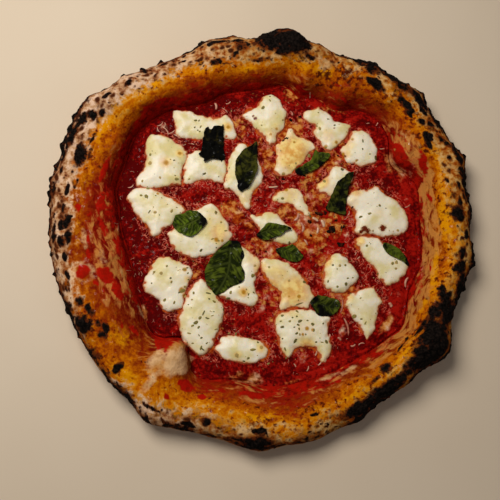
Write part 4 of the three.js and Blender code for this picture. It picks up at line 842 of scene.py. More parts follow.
def crust_zones(surface, directions, points, settings):
    """The masks of the rim: how baked, floury and tinted by painted light, sauce-stained, splashed, burnt, bare and
    yellow.
    """
    wobble = [1.6 * rough(points, 5, 3), 1.6 * rough(points, 5, 7)]
    small_wobble = [1.5 * rough(points, 4, 13), 1.2 * rough(points, 4, 17)]
    along = surface[:, :, 2]
    flour_line = length_at(surface, round_table(FLOUR_FROM, directions))[:, None]
    sauce_line = length_at(surface, round_table(SAUCE_TO, directions))[:, None]
    edge_line = length_at(surface, surface[:, :, 0].max(axis=1) - 1.2)[:, None]
    drift = 2.2 * rough(points, 11, 21) + 1.6 * along_rim(surface, directions, 12, 3, 23)
    bake = (along + drift - sauce_line) / np.maximum(flour_line - sauce_line, 6)
    marbling = along_rim(surface, directions, 8, 1.6, 25)
    stain = eased(-4.5, 3.5, sauce_line - along + 3 * rough(points, 9, 31) + 4.5 * marbling)
    burn = marks_on(surface, directions, CHAR_MARKS, small_wobble)
    edge_depth = np.zeros(len(directions))
    for direction, depth, spread in CHAR_EDGE:
        reach = (turn_between(directions, direction) / spread) ** 4
        edge_depth = np.maximum(edge_depth, depth * np.exp(-reach * 0.7))
    band = np.exp(-((along - edge_line + 0.4) / 5) ** 2)
    burn = np.maximum(burn, edge_depth[:, None] * band * (0.85 + 0.8 * rough(points, 5, 41)))
    burn = np.maximum(burn, 0.75 * band * eased(-0.4, 0.6, rough(points, 6, 43)))
    spots = small_spots(surface, directions, settings)
    burn = np.maximum(burn, marks_on(surface, directions, spots, small_wobble))
    # Knobs sit on the outermost edge, a little above the belly.
    knob = np.zeros(surface.shape[:2])
    for direction, height, half_width in EDGE_KNOBS:
        turn = np.radians(turn_between(directions, direction))[:, None]
        round_way = turn * surface[:, :, 0] + 0.4 * small_wobble[0]
        out_way = along - edge_line - 1 + 0.4 * small_wobble[1]
        reach = (round_way / half_width) ** 2 + (out_way / (half_width * 1.1)) ** 2
        knob = np.maximum(knob, height * np.exp(-0.7 * reach ** 1.5))
    burn = np.maximum(burn, np.minimum(knob * 1.2, 1))
    splashes = marks_on(surface, directions, SAUCE_MARKS, wobble)
    bare = marks_on(surface, directions, BARE_DOUGH, wobble)
    yellow = marks_on(surface, directions, YELLOW_MARKS, wobble)
    raised = np.zeros(surface.shape[:2])
    for *place, _, height in BARE_DOUGH:
        raised = np.maximum(raised, height * marks_on(surface, directions, [(*place, 1.0)], wobble))
    stain = np.maximum(stain * (1 - bare * 0.9), splashes)
    # The last column, pale, is painted light and shade: paler on the upper left, darker on the left and at the top.
    pitted, redden, cream, pale = (
        round_table(SLOPE_LOOK, directions, column)[:, None] for column in (1, 2, 3, 4))
    pitted = pitted * eased(0.15, 0.5, bake) * eased(1.35, 1.05, bake) * (0.8 + 0.8 * rough(points, 9, 45))
    pitted = np.maximum(pitted, 0.9 * eased(0.02, 0.2, burn) * eased(1.2, 0.8, bake))
    redden = redden * eased(1.0, 0.3, bake)
    cream = cream * eased(-0.5, 0.0, bake) * eased(0.75, 0.3, bake)
    dust = round_table(FLOUR_DUST_AND_LIGHT_TINT, directions)[:, None] + 0 * along
    return {
        "bake": bake, "dust": dust, "stain": stain, "splash": splashes, "burn": burn,
        "bare": bare * (1 - splashes), "yellow": yellow, "pitted": pitted, "redden": redden, "cream": cream,
        "pale": pale + 0 * along, "raised": raised, "knob": knob,
    }


def normals_of(grid):
    """The outward normals of a grid of points that closes round its first axis."""
    round_way = np.roll(grid, -1, axis=0) - np.roll(grid, 1, axis=0)
    normal = np.cross(np.gradient(grid, axis=1), round_way)
    return normal / np.maximum(np.linalg.norm(normal, axis=2, keepdims=True), 1e-9)


def build_crust(settings):
    surface, middle = crust_surface()
    directions = spoke_directions()
    angle = np.radians(directions)[:, None]
    radius, height, along = (surface[:, :, column] for column in range(3))
    points = np.stack(
        [middle[0] + radius * np.cos(angle), middle[1] + radius * np.sin(angle), height], axis=2)
    zones = crust_zones(surface, directions, points, settings)
    # The relief fades out at both feet, where the crust meets the sauce and the ground.
    part = np.linspace(0, 1, CRUST_ROWS)[None, :]
    fade = eased(0, 0.1, part) * eased(1, 0.9, part)
    burn = eased(0.35, 0.8, zones["burn"])
    calm = 1 - 0.8 * zones["splash"]
    outside = eased(0.8, 1.2, zones["bake"])
    crag = rough(points, 3.4, 61)
    relief = (0.45 * rough(points, 9, 51) + (0.2 + 0.16 * outside) * rough(points, 2.6, 55)) * calm
    relief += zones["raised"] * 0.9 + zones["splash"] * 0.4 + zones["knob"] * (0.8 + 0.5 * crag)
    relief += burn * (0.3 + 1.2 * crag + 0.5 * rough(points, 1.9, 63, octaves=1))
    points = points + normals_of(points) * (relief * fade * settings.relief / MM)[:, :, None]
    points[:, :, 2] = np.maximum(points[:, :, 2], 0)
    # The hidden floor under the sauce, and the underside in rings that close on its middle.
    rings = [np.array([[middle[0], middle[1], surface[0, 0, 1]]]), *points.transpose(1, 0, 2)]
    for shrink in UNDER_RINGS:
        ring = middle + (points[:, -1] - middle) * shrink
        ring[:, 2] = 0.25 * np.maximum(rough(ring, 12, 71), 0)
        rings.append(ring)
    rings.append(np.array([[middle[0], middle[1], 0]]))
    under = {"bake": 1.3, "burn": 0.42, "dust": 0.5}
    under_count = len(UNDER_RINGS) * CRUST_SPOKES + 1
    masks = {}
    for name, values in zones.items():
        if name not in ("raised", "knob"):
            first = [1.0 if name == "stain" else 0.0]
            last = np.full(under_count, under.get(name, 0.0))
            masks[name] = np.concatenate([first, values.T.ravel(), last])
    # Places measured round the rim and along its section, so that patterns can follow the rim.
    rim = np.stack([MEAN_RIM * np.cos(angle) + 0 * part, MEAN_RIM * np.sin(angle) + 0 * part, along], axis=2)
    under_places = np.concatenate(rings[-1 - len(UNDER_RINGS):])
    masks["rim"] = np.concatenate([rings[0], rim.transpose(1, 0, 2).reshape(-1, 3), under_places]) * MM
    faces = ring_faces(CRUST_ROWS + len(UNDER_RINGS) + 2, CRUST_SPOKES)
    material = crust_material(settings)
    return make_piece("baked_crust", np.concatenate(rings), faces, material, ["crust"], masks)


def wet_finish(tree, place, colour, height, depth, roughness, film, film_roughness, ior, pool=2.0):
    """A dull body under beads of clear oil about pool millimetres wide, over bumps of the given depth."""
    bump = add_node(tree, "Bump", {"Height": height, "Strength": 0.8, "Distance": depth})
    pools = add_node(tree, "TexNoise", {
        "Vector": place, "Scale": blots(pool), "Detail": 2.0, "Roughness": 0.5})
    beads = add_node(tree, "MapRange", {"Value": pools, "From Min": 0.6, "From Max": 0.7}, **SOFT)
    beads = add_node(tree, "Math", {0: beads, 1: film}, operation="MULTIPLY")
    shader = add_node(tree, "BsdfPrincipled", {
        "Base Color": colour, "Roughness": roughness, "Normal": bump, "IOR": ior, "Specular IOR Level": 0.04,
        "Coat Weight": beads, "Coat Roughness": film_roughness, "Coat IOR": ior, "Coat Normal": bump})
    add_node(tree, "OutputMaterial", {"Surface": shader})


def crust_material(settings):
    """Baked wheat dough: oiled and blistered inside, floury and toasted outside, and black where burnt."""
    material, tree, place = new_material("oven-baked wheat dough")
    broad, medium, fine = (
        add_node(tree, "TexNoise", {"Vector": place, "Scale": blots(size), "Detail": 3.0, "Roughness": 0.6})
        for size in (7, 2.2, 0.8))
    # The dough was stretched round the rim, so its marbling is drawn out that way.
    rim = add_node(tree, "Attribute", attribute_name="rim", output="Vector")
    stretched = add_node(tree, "Mapping", {"Vector": rim, "Scale": (blots(4.5), blots(4.5), blots(2.2))})
    drawn = add_node(tree, "TexNoise", {
        "Vector": stretched, "Scale": 1.0, "Detail": 3.0, "Roughness": 0.6, "Distortion": 0.5})
    baked = add_node(tree, "Attribute", attribute_name="bake", output="Fac")
    for pattern, weight in ((drawn, 0.7), (medium, 0.8), (fine, 0.35)):
        baked = add_node(tree, "Math", {0: pattern, 1: weight, 2: baked}, operation="MULTIPLY_ADD")
    floury = add_node(tree, "MapRange", {"Value": baked, "From Min": 1.75, "From Max": 2.05}, **SOFT)
    # Baking goes from sauce-soaked red through russet and orange to gold, in blots of many sizes, and then
    # to flour.
    # The pale mask is painted light and shade: it moves the slope towards gold on the upper left and towards red on the
    # left and top.
    pale = add_node(tree, "Attribute", attribute_name="pale", output="Fac")
    baked = add_node(tree, "Math", {0: baked, 1: pale}, operation="ADD")
    for pattern, weight in ((drawn, 0.9), (medium, 0.5), (fine, 0.35)):
        baked = add_node(tree, "Math", {0: pattern, 1: weight, 2: baked}, operation="MULTIPLY_ADD")
    ramp = add_node(tree, "MapRange", {"Value": baked, "From Min": 1.4, "From Max": 3.2})
    colour = add_node(tree, "ValToRGB", {0: ramp}, stops=[
        (0.08, settings.soaked_colour), (0.24, settings.russet_colour), (0.38, settings.brown_colour),
        (0.52, settings.oiled_colour), (0.68, settings.golden_colour), (0.86, settings.amber_colour)])
    # The yellow mask is buttery oil and partly a painted highlight on the glaze.
    yellow = broken_mask(tree, "yellow", medium, 1.2, 0.25, 0.9)
    redder = broken_mask(tree, "redden", drawn, 2.4, 0.3, 0.95)
    # Dark pits a millimetre or two wide, where small blisters broke, each with a brown ring.
    pitted = add_node(tree, "Attribute", attribute_name="pitted", output="Fac")
    blisters = add_node(tree, "TexNoise", {
        "Vector": place, "Scale": blots(1.7), "Detail": 3.0, "Roughness": 0.55})
    blisters = add_node(tree, "Math", {0: pitted, 1: 0.16, 2: blisters}, operation="MULTIPLY_ADD")
    ringed, pits = (
        add_node(tree, "MapRange", {"Value": blisters, "From Min": low, "From Max": high, "To Max": most},
                 **SOFT)
        for low, high, most in ((0.6, 0.7, 0.75), (0.67, 0.77, 0.9)))
    for part, over in ((yellow, settings.yellow_colour), (redder, settings.red_colour),
                       (ringed, settings.russet_colour), (pits, settings.pit_colour)):
        colour = add_node(tree, "Mix", {0: part, 6: colour, 7: over}, **BLEND)
    # Outside, white flour lies over dough that is toasted in soft patches.
    toasted = add_node(tree, "Math", {0: medium, 1: 0.75, 2: -0.15}, operation="MULTIPLY_ADD")
    toasted = add_node(tree, "Math", {0: broad, 1: 0.55, 2: toasted}, operation="MULTIPLY_ADD")
    dusted, plain = (
        add_node(tree, "ValToRGB", {0: toasted}, stops=list(zip((0.34, 0.41, 0.49, 0.59), shades)))
        for shades in (
            (settings.toast_colour, settings.biscuit_colour, settings.flour_colour, settings.dusty_colour),
            (settings.toast_colour, settings.brown_colour, settings.ochre_colour, settings.straw_colour)))
    # Its pink floury palette is partly a painted tint of the light, strongest on the upper left and left.
    dust = broken_mask(tree, "dust", medium, 0.5, 0.1, 0.9)
    outside = add_node(tree, "Mix", {0: dust, 6: plain, 7: dusted}, **BLEND)
    # Leopard spots: round or drawn out along the rim, of many sizes, brown at the edge and darker inside.
    leopard = add_node(tree, "Mapping", {
        "Vector": rim, "Scale": tuple(1 / (size * MM) for size in (5.5, 5.5, 4))})
    warped = add_node(tree, "VectorMath", {0: add_node(tree, "TexNoise", {
        "Vector": place, "Scale": blots(2), "Detail": 3.0}, output="Color"), 1: (0.45, 0.45, 0.45), 2: leopard},
        operation="MULTIPLY_ADD")
    cells = add_node(tree, "TexVoronoi", {"Vector": warped, "Scale": 1.0, "Randomness": 1.0},
                     output="Distance")
    chance = add_node(tree, "SeparateColor", {"Color": cells.node.outputs["Color"]})
    size = add_node(tree, "Math", {0: chance, 1: -0.55, 2: cells}, operation="MULTIPLY_ADD")
    brown_spot, dark_spot = (
        add_node(tree, "MapRange", {"Value": size, "From Min": high, "From Max": low}, **SOFT)
        for high, low in ((0.08, -0.22), (-0.14, -0.38)))
    for part, over in ((brown_spot, settings.scorch_colour), (dark_spot, settings.spot_colour)):
        outside = add_node(tree, "Mix", {0: part, 6: outside, 7: over}, **BLEND)
    # Thin bright sauce on the slope, cream that ran over it, dough that it ran off, and splashes.
    stain = broken_mask(tree, "stain", medium, 1.2, 0.25, 0.75)
    red = add_node(tree, "ValToRGB", {0: medium}, stops=[
        (0.34, settings.soaked_colour), (0.45, settings.red_colour), (0.58, settings.splash_colour)])
    streaks = broken_mask(tree, "cream", drawn, 2.6, 0.55, 1.05)
    streaks = add_node(tree, "Math", {0: streaks, 1: 0.55}, operation="MULTIPLY")
    bare = broken_mask(tree, "bare", medium, 1.0, 0.22, 0.75)
    splash = broken_mask(tree, "splash", medium, 1.5, 0.25, 0.65)
    splashed = add_node(tree, "ValToRGB", {0: medium}, stops=[
        (0.38, settings.red_colour), (0.56, settings.splash_colour)])
    mottled = add_node(tree, "MapRange", {"Value": broad, "From Min": 0.35, "From Max": 0.6}, **SOFT)
    dough = add_node(tree, "Mix", {0: mottled, 6: settings.bare_brown_colour, 7: settings.bare_colour}, **BLEND)
    # Burning browns the dough first and then turns it black, with a little grey ash on top.
    browned = broken_mask(tree, "burn", medium, 1.3, 0.12, 0.5)
    blackened = broken_mask(tree, "burn", medium, 2.0, 0.36, 0.66)
    char = add_node(tree, "ValToRGB", {0: fine}, stops=[
        (0.42, settings.char_colour), (0.68, settings.ash_colour)])
    for part, over in ((floury, outside), (stain, red), (streaks, settings.cream_colour), (bare, dough),
                       (splash, splashed), (browned, settings.scorch_colour), (blackened, char)):
        colour = add_node(tree, "Mix", {0: part, 6: colour, 7: over}, **BLEND)
    # Oil and sauce leave a thin shiny film, which the flour and the burnt places lack.
    dry = add_node(tree, "Math", {0: floury, 1: browned}, operation="MAXIMUM")
    film = add_node(tree, "MapRange", {"Value": dry, "To Min": 0.5, "To Max": 0.0})
    height = add_node(tree, "Math", {0: fine, 1: 0.6, 2: medium}, operation="MULTIPLY_ADD")
    wet_finish(tree, place, colour, height, 0.8 * MM, 0.85, film, 0.16, 1.45)
    return material


# ---- The sauce ------------------------------------------------------------------------------------

SAUCE_SPOKES = 480
SAUCE_RINGS = 120
SAUCE_CREEP = 8.6
SAUCE_SKIN = 0.25
SAUCE_BOTTOM = 3.6
SAUCE_LEVEL = 6.2


def smooth_higher(a, b, sharpness):
    """The higher of two heights, rounded where they cross."""
    return np.logaddexp(a * sharpness, b * sharpness) / sharpness


def slab_nearness(x, y):
    """How far each place lies outside the nearest slab of cheese, in millimetres, up to 12."""
    nearest = np.full(np.shape(x), 12.0)
    for corners in SLAB_OUTLINES.values():
        outline = closed_curve(corners, 3)
        low, high = outline.min(axis=0) - 8, outline.max(axis=0) + 8
        near = (x > low[0]) & (x < high[0]) & (y > low[1]) & (y < high[1])
        if near.any():
            nearest[near] = np.minimum(nearest[near], -depth_inside(outline, x[near], y[near]))
    return nearest


def build_sauce(settings):
    surface, middle = crust_surface()
    every = surface[np.linspace(0, CRUST_SPOKES, SAUCE_SPOKES, endpoint=False).astype(int)]
    angle = np.arange(SAUCE_SPOKES) * 2 * math.pi / SAUCE_SPOKES
    reach = np.array([np.interp(SAUCE_CREEP, section[:24, 1], section[:24, 0]) for section in every])
    rim = np.stack([reach * np.cos(angle), reach * np.sin(angle), 0 * angle], axis=1)
    reach = reach + 0.7 * rough(rim, 8, 83)
    parts = (np.linspace(0, 1, SAUCE_RINGS + 1)[1:] ** 0.6)[:, None]
    x = middle[0] + reach * parts * np.cos(angle)
    y = middle[1] + reach * parts * np.sin(angle)
    packed = surface_tree("tomato_sauce")
    flat = float(np.median(heights_at(packed, x[:60:12, ::40], y[:60:12, ::40], SAUCE_LEVEL)))
    level = heights_at(packed, x, y, flat)
    level = np.where(level < 4.5, flat, level)
    dough = heights_at(surface_tree("baked_crust"), x, y, 4.0)
    places = np.stack([x, y, 0 * x], axis=-1)
    away = slab_nearness(x, y)
    calm = eased(0.83, 0.94, parts) + 0 * x
    # Bare dough comes up through the rim of the sauce.
    bare = np.zeros(x.shape)
    for direction, radius, half_length, half_width, strength, _ in BARE_DOUGH:
        round_way = np.radians(turn_between(np.degrees(angle), direction)) * radius
        ways = (round_way / half_length) ** 2 + ((reach * parts - radius) / half_width) ** 2
        bare = np.maximum(bare, strength * np.exp(-0.7 * ways ** 1.5))
    lumps = (0.45 * rough(places, 7, 81) + 0.28 * rough(places, 2.4, 87, octaves=2)) * (1 - 0.6 * calm) + bare
    lumps += 0.8 * patches_at(CURDLED_SAUCE, x, y) * (0.4 + rough(places, 3, 89, octaves=2))
    lumps += 0.5 * np.exp(-np.maximum(away, 0) / 2.0)
    # The rim of the sauce is a thin skin on the dough, and its last ring dips under the dough's surface.
    skin = SAUCE_SKIN - (SAUCE_SKIN + 1.6) * eased(0.97, 1.0, parts)
    z = smooth_higher(level + lumps * settings.relief / MM, dough + skin, 0.75)
    z = z * (1 - eased(0.965, 0.99, parts)) + np.minimum(z, dough + skin) * eased(0.965, 0.99, parts)
    rings = [np.array([[middle[0], middle[1], z[0].mean()]]), *np.stack([x, y, z], axis=-1)]
    under = rings[-1].copy()
    under[:, 2] = SAUCE_BOTTOM
    rings += [under, np.array([[middle[0], middle[1], SAUCE_BOTTOM]])]
    # Painted shade: the sauce is darkened at the rim on the upper left, and far into the left side.
    # Painted light: it is lightened at the rim on the lower right.
    deep = calm * (0.35 - 0.65 * np.cos(angle - math.radians(345))) + (1 - calm) * eased(-35, -75, x)
    milk = np.exp(-np.maximum(away, 0) / 2.2) * (1 - 0.8 * calm) * (0.75 + 0.8 * rough(places, 26, 97))
    masks = {
        "orange": patches_at(ORANGE_SAUCE, x, y), "curd": patches_at(CURDLED_SAUCE, x, y), "deep": deep,
        "strewn": eased(11, 2, away) * (1 - calm), "milk": milk, "bare": bare,
    }
    for title, values in masks.items():
        masks[title] = np.concatenate([[0.0], values.ravel(), values[-1], [0.0]])
    faces = ring_faces(SAUCE_RINGS + 3, SAUCE_SPOKES)
    material = sauce_material(settings)
    return make_piece("wet_tomato_sauce", np.concatenate(rings), faces, material,
                      ["tomato_sauce"], masks)


def sauce_material(settings):
    """Cooked tomato: a wet crimson pulp, smooth at the rim, with strands, orange oil and curds melted in."""
    material, tree, place = new_material("cooked tomato sauce")
    broad, thick, medium, fine = (
        add_node(tree, "TexNoise", {"Vector": place, "Scale": blots(size), "Detail": 3.0, "Roughness": 0.6})
        for size in (9, 3.6, 1.9, 0.9))
    # It is dark where it is thick and bright where it is thin, in random blots.
    # The painted shade mask darkens it further on the upper left and the left side, and lightens it on the lower right.
    depth = add_node(tree, "Attribute", attribute_name="deep", output="Fac")
    depth = add_node(tree, "Math", {0: depth, 1: -0.1}, operation="MULTIPLY")
    for pattern, weight in ((broad, 0.4), (thick, 0.55), (fine, 0.5)):
        depth = add_node(tree, "Math", {0: pattern, 1: weight, 2: depth}, operation="MULTIPLY_ADD")
    colour = add_node(tree, "ValToRGB", {0: depth}, stops=[
        (0.62, settings.deep_colour), (0.71, settings.colour), (0.82, settings.thin_colour)])
    # Strands of fat run where one noise passes its middle value, and specks sit on the peaks of another.
    strands = add_node(tree, "TexNoise", {
        "Vector": place, "Scale": blots(2.2), "Detail": 1.5, "Distortion": 0.8})
    strands = add_node(tree, "Math", {0: strands, 1: 0.5}, operation="SUBTRACT")
    strands = add_node(tree, "Math", {0: strands}, operation="ABSOLUTE")
    strands = add_node(tree, "MapRange", {"Value": strands, "From Min": 0.034, "From Max": 0.008}, **SOFT)
    specks = add_node(tree, "MapRange", {"Value": fine, "From Min": 0.58, "From Max": 0.7, "To Max": 0.7},
                      **SOFT)
    specks = add_node(tree, "Math", {0: specks, 1: strands}, operation="MAXIMUM")
    strewn = broken_mask(tree, "strewn", thick, 3.0, 0.5, 1.15)
    specks = add_node(tree, "Math", {0: specks, 1: strewn}, operation="MULTIPLY")
    oiled = add_node(tree, "ValToRGB", {0: medium}, stops=[
        (0.36, settings.toasted_colour), (0.5, settings.oil_colour), (0.64, settings.curd_colour)])
    curds = add_node(tree, "ValToRGB", {0: medium}, stops=[
        (0.34, settings.oil_colour), (0.46, settings.speck_colour), (0.6, settings.milk_colour)])
    dough = add_node(tree, "ValToRGB", {0: thick}, stops=[
        (0.4, settings.oil_colour), (0.54, settings.curd_colour), (0.74, settings.milk_colour)])
    for part, over in ((specks, settings.speck_colour),
                       (broken_mask(tree, "orange", medium, 1.8, 0.25, 0.85), oiled),
                       (broken_mask(tree, "curd", thick, 1.4, 0.3, 0.85), curds),
                       (broken_mask(tree, "milk", thick, 2.0, 0.55, 1.05), settings.halo_colour),
                       (broken_mask(tree, "bare", thick, 1.4, 0.25, 0.8), dough)):
        colour = add_node(tree, "Mix", {0: part, 6: colour, 7: over}, **BLEND)
    height = add_node(tree, "Math", {0: fine, 1: 0.5, 2: thick}, operation="MULTIPLY_ADD")
    wet_finish(tree, place, colour, height, 0.6 * MM, 0.8, 0.3, 0.16, 1.38, pool=1.5)
    return material


# ---- The mozzarella -------------------------------------------------------------------------------

SLAB_SPACING = 0.75
SLAB_PART = 0.9
SLAB_SKIRT = 0.4


def lie_of(x, y, heights):
    """A gently curved surface fitted to some heights, and its height at each of their places."""
    dx, dy = (x - x.mean()) / 20, (y - y.mean()) / 20
    terms = np.stack([np.ones_like(dx), dx, dy, dx * dx, dx * dy, dy * dy], axis=1)
    return terms @ np.linalg.lstsq(terms, heights, rcond=None)[0]


def build_slab(name, material, trees, settings):
    seed = int(name[-2:]) * 10
    x, y, depth, squares, edge = fill_outline(
        SLAB_OUTLINES[name], SLAB_SPACING,
        lambda at: SLAB_SKIRT + rough(at, 6, seed, octaves=2) + 0.8 * rough(at, 2.6, seed + 4, octaves=2))
    ground = heights_at(trees["laid"], x, y, SAUCE_LEVEL)
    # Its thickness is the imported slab's, a little less for its softer edge.
    inner = depth > 0.6 * depth.max()
    both = surface_tree(name), trees["packed"]
    upper, lower = (heights_at(tree, x[inner], y[inner], np.nan) for tree in both)
    thick = float(np.nanmedian(upper - lower)) * SLAB_PART
    places = np.stack([x, y, 0 * x], axis=-1)
    near_edge = np.exp(-depth / 2.5)
    base = ground * near_edge + lie_of(x, y, ground) * (1 - near_edge)
    rise = thick * (0.3 * (1 - np.exp(-depth / 0.8)) + 0.75 * (1 - np.exp(-depth / 4.5)))
    swell = 0.6 * rough(places, 11, seed + 1, octaves=2) + 0.34 * rough(places, 4, seed + 3)
    # Its thin skirt ends under the sauce, so that the cheese comes out of it without a wall.
    top = base - 0.5 + rise + swell * (1 - np.exp(-depth / 3)) * settings.relief / MM
    top = np.where(depth > 2, np.maximum(top, ground + 0.2), top)
    bottom = np.minimum(ground, top) - 0.5
    points, faces = sheet_body(np.stack([x, y, top], axis=1), np.stack([x, y, bottom], axis=1), squares, edge)
    # Every scorched dot has a golden ring.
    golden = GOLD_DOTS + [(at_x, at_y, 1.5 * radius, 0.8) for at_x, at_y, radius in SCORCH_DOTS]
    masks = {
        "depth": depth - SLAB_SKIRT + 1.9 * rough(places, 3.2, seed + 6) * eased(0, 1, depth),
        "warm": patches_at(WARM_PATCHES, x, y),
        "gold": patches_at(golden, x, y),
        "scorch": patches_at(SCORCH_DOTS, x, y),
    }
    masks = {title: np.tile(values, 2) for title, values in masks.items()}
    return make_piece("melted_" + name, points, faces, material, [name], masks)


def mozzarella_material(settings):
    """Melted fresh mozzarella: soft, milky and faintly shiny, thin and pink at its edge and toasted in dots."""
    material, tree, place = new_material("melted mozzarella")
    broad, medium, fine = (
        add_node(tree, "TexNoise", {"Vector": place, "Scale": blots(size), "Detail": 3.0, "Roughness": 0.55})
        for size in (8, 2.6, 0.9))
    creamy = add_node(tree, "MapRange", {"Value": broad, "From Min": 0.4, "From Max": 0.65}, **SOFT)
    browner = add_node(tree, "MapRange", {"Value": medium, "From Min": 0.35, "From Max": 0.65}, **SOFT)
    warm_tone = add_node(tree, "Mix", {0: browner, 6: settings.warm_colour, 7: settings.butter_colour}, **BLEND)
    # The edge thins out: first it lets some sauce show through, and at its very end it is nearly all sauce.
    depth = add_node(tree, "Attribute", attribute_name="depth", output="Fac")
    thin, thinnest = (
        add_node(tree, "MapRange", {"Value": depth, "From Min": inner, "From Max": outer, "To Max": most},
                 **SOFT)
        for inner, outer, most in ((2.3, 0.2, 0.65), (0.9, 0.1, 0.9)))
    colour = settings.colour
    for part, over in ((creamy, settings.cream_colour),
                       (broken_mask(tree, "warm", medium, 0.7, 0.15, 1.0), warm_tone),
                       (thin, settings.thin_colour), (thinnest, settings.stained_colour),
                       (broken_mask(tree, "gold", fine, 0.5, 0.3, 1.0), settings.gold_colour),
                       (broken_mask(tree, "scorch", fine, 2.0, 0.3, 0.75), settings.scorch_colour)):
        colour = add_node(tree, "Mix", {0: part, 6: colour, 7: over}, **BLEND)
    height = add_node(tree, "Math", {0: fine, 1: 0.3, 2: medium}, operation="MULTIPLY_ADD")
    bump = add_node(tree, "Bump", {"Height": height, "Strength": 0.35, "Distance": 0.4 * MM})
    gloss = add_node(tree, "MapRange", {"Value": medium, "To Min": 0.15, "To Max": 0.45})
    shader = add_node(tree, "BsdfPrincipled", {
        "Base Color": colour, "Roughness": gloss, "Normal": bump, "IOR": 1.4, "Specular IOR Level": 0.25,
        "Subsurface Weight": 0.2, "Subsurface Radius": (1.0, 0.7, 0.45), "Subsurface Scale": 1 * MM})
    add_node(tree, "OutputMaterial", {"Surface": shader})
    return material


# ---- The basil ------------------------------------------------------------------------------------

LEAF_SPACING = 0.5


def softened(values, x, y, size):
    """Values averaged over about size millimetres round each place."""
    grid = {}
    for at, value in zip(zip((x // size).astype(int), (y // size).astype(int)), values):
        grid.setdefault(at, []).append(value)
    spots = np.array([((i + 0.5) * size, (j + 0.5) * size, np.mean(found))
                      for (i, j), found in sorted(grid.items())])
    away = (x[:, None] - spots[None, :, 0]) ** 2 + (y[:, None] - spots[None, :, 1]) ** 2
    weight = np.exp(-away / (2 * size ** 2))
    return (weight * spots[None, :, 2]).sum(axis=1) / weight.sum(axis=1)


def build_leaf(name, material, tree, settings):
    leaf = BASIL_LEAVES[name]
    seed = int(name[-2:]) * 7
    spike = 1.6 if leaf["green"] == 0 else 1.0
    x, y, depth, squares, edge = fill_outline(
        leaf["outline"], LEAF_SPACING,
        lambda at: spike * (0.35 * rough(at, 2.6, seed) + 0.2 * rough(at, 1.1, seed + 4)))
    turn = math.radians(leaf["tip"])
    along = (x - x.mean()) * math.cos(turn) + (y - y.mean()) * math.sin(turn)
    across = (y - y.mean()) * math.cos(turn) - (x - x.mean()) * math.sin(turn)
    # Its wrinkles run out from the midrib, as the side veins do.
    lay = np.stack([along - 0.8 * np.abs(across), 0.35 * across, 0 * x], axis=1) * MM
    along, across = along / np.abs(along).max(), across / np.abs(across).max()
    across = across + 0.16 * np.sin(along * 2.4 + seed)
    places = np.stack([x, y, 0 * x], axis=-1)
    # It drapes over the toppings, with a sunk midrib, curled edges and side veins that lean to the tip.
    ground = heights_at(tree, x, y, 7.0)
    lie = softened(ground, x, y, 4.0)
    veins = np.cos((along * 4.6 - np.abs(across) * 1.9) * math.pi + 0.6 * rough(places, 6, seed + 9))
    relief = 0.18 * veins * np.minimum(np.abs(across) * 2, 1) - 0.5 * np.exp(-(across / 0.09) ** 2)
    creases = 0.9 * rough(places, 5, seed + 2, octaves=2) + 0.55 * rough(places, 2, seed + 5, octaves=2)
    relief += leaf["crumple"] * creases
    curl = np.exp(-depth / 1.6) * (0.5 + 1.1 * rough(places, 7, seed + 7, octaves=2)) * leaf["crumple"]
    top = lie + 1.15 + 0.5 * (1 - across ** 2) + (relief + curl) * settings.relief / MM
    top = np.maximum(top, ground + 0.45 + 0.15 * relief)
    bottom = top - settings.thickness / MM
    points, faces = sheet_body(np.stack([x, y, top], axis=1), np.stack([x, y, bottom], axis=1), squares, edge)
    midrib = np.exp(-(across / 0.05) ** 2)
    masks = {
        "burnt": patches_at(leaf["burnt"], x, y) * (0.85 + 0.7 * rough(places, 3, seed + 8))
                 + np.exp(-depth / 0.7) * (0.25 + 0.7 * rough(places, 5, seed + 11)),
        "green": np.full(len(x), float(leaf["green"])),
        # Painted light and shade: this mask follows the leaf's height, high on its ridges and low in its folds.
        "ridge": eased(-0.8, 1.0, relief + curl),
        "vein": np.maximum(eased(0.6, 1.0, -veins) * (1 - midrib) * 0.8, midrib),
        "lay": lay,
    }
    masks = {title: np.concatenate([values, values]) for title, values in masks.items()}
    return make_piece("scorched_" + name, points, faces, material, [name], masks)


def basil_material(settings):
    """Oven-dried basil: dark, thin and wrinkled, with a waxy sheen, black where it scorched."""
    material, tree, place = new_material("scorched basil leaf")
    medium, fine = (
        add_node(tree, "TexNoise", {"Vector": place, "Scale": blots(size), "Detail": 3.0, "Roughness": 0.6})
        for size in (2.2, 0.8))
    # Painted light and shade: its ridges are coloured lighter and its folds darker, in wrinkles drawn out along the
    # side veins.
    lay = add_node(tree, "Attribute", attribute_name="lay", output="Vector")
    wrinkles = add_node(tree, "TexNoise", {
        "Vector": lay, "Scale": blots(0.9), "Detail": 3.0, "Roughness": 0.6})
    ridge = broken_mask(tree, "ridge", wrinkles, 2.6, 0.15, 1.1)
    fresh, dried = (add_node(tree, "Mix", {0: ridge, 6: low, 7: high}, **BLEND) for low, high in (
        (settings.colour, settings.bright_colour), (settings.dry_colour, settings.olive_colour)))
    green = add_node(tree, "Attribute", attribute_name="green", output="Fac")
    vein = add_node(tree, "Attribute", attribute_name="vein", output="Fac")
    vein = add_node(tree, "Math", {0: vein, 1: green}, operation="MULTIPLY")
    vein = add_node(tree, "Math", {0: vein, 1: 0.3}, operation="MULTIPLY")
    colour = dried
    for part, over in ((green, fresh), (vein, settings.vein_colour),
                       (broken_mask(tree, "burnt", medium, 1.4, 0.2, 0.75), settings.char_colour)):
        colour = add_node(tree, "Mix", {0: part, 6: colour, 7: over}, **BLEND)
    height = add_node(tree, "Math", {0: fine, 1: 0.4, 2: wrinkles}, operation="MULTIPLY_ADD")
    wet_finish(tree, place, colour, height, 0.5 * MM, 0.75, 0.5, 0.22, 1.42, pool=1.6)
    return material


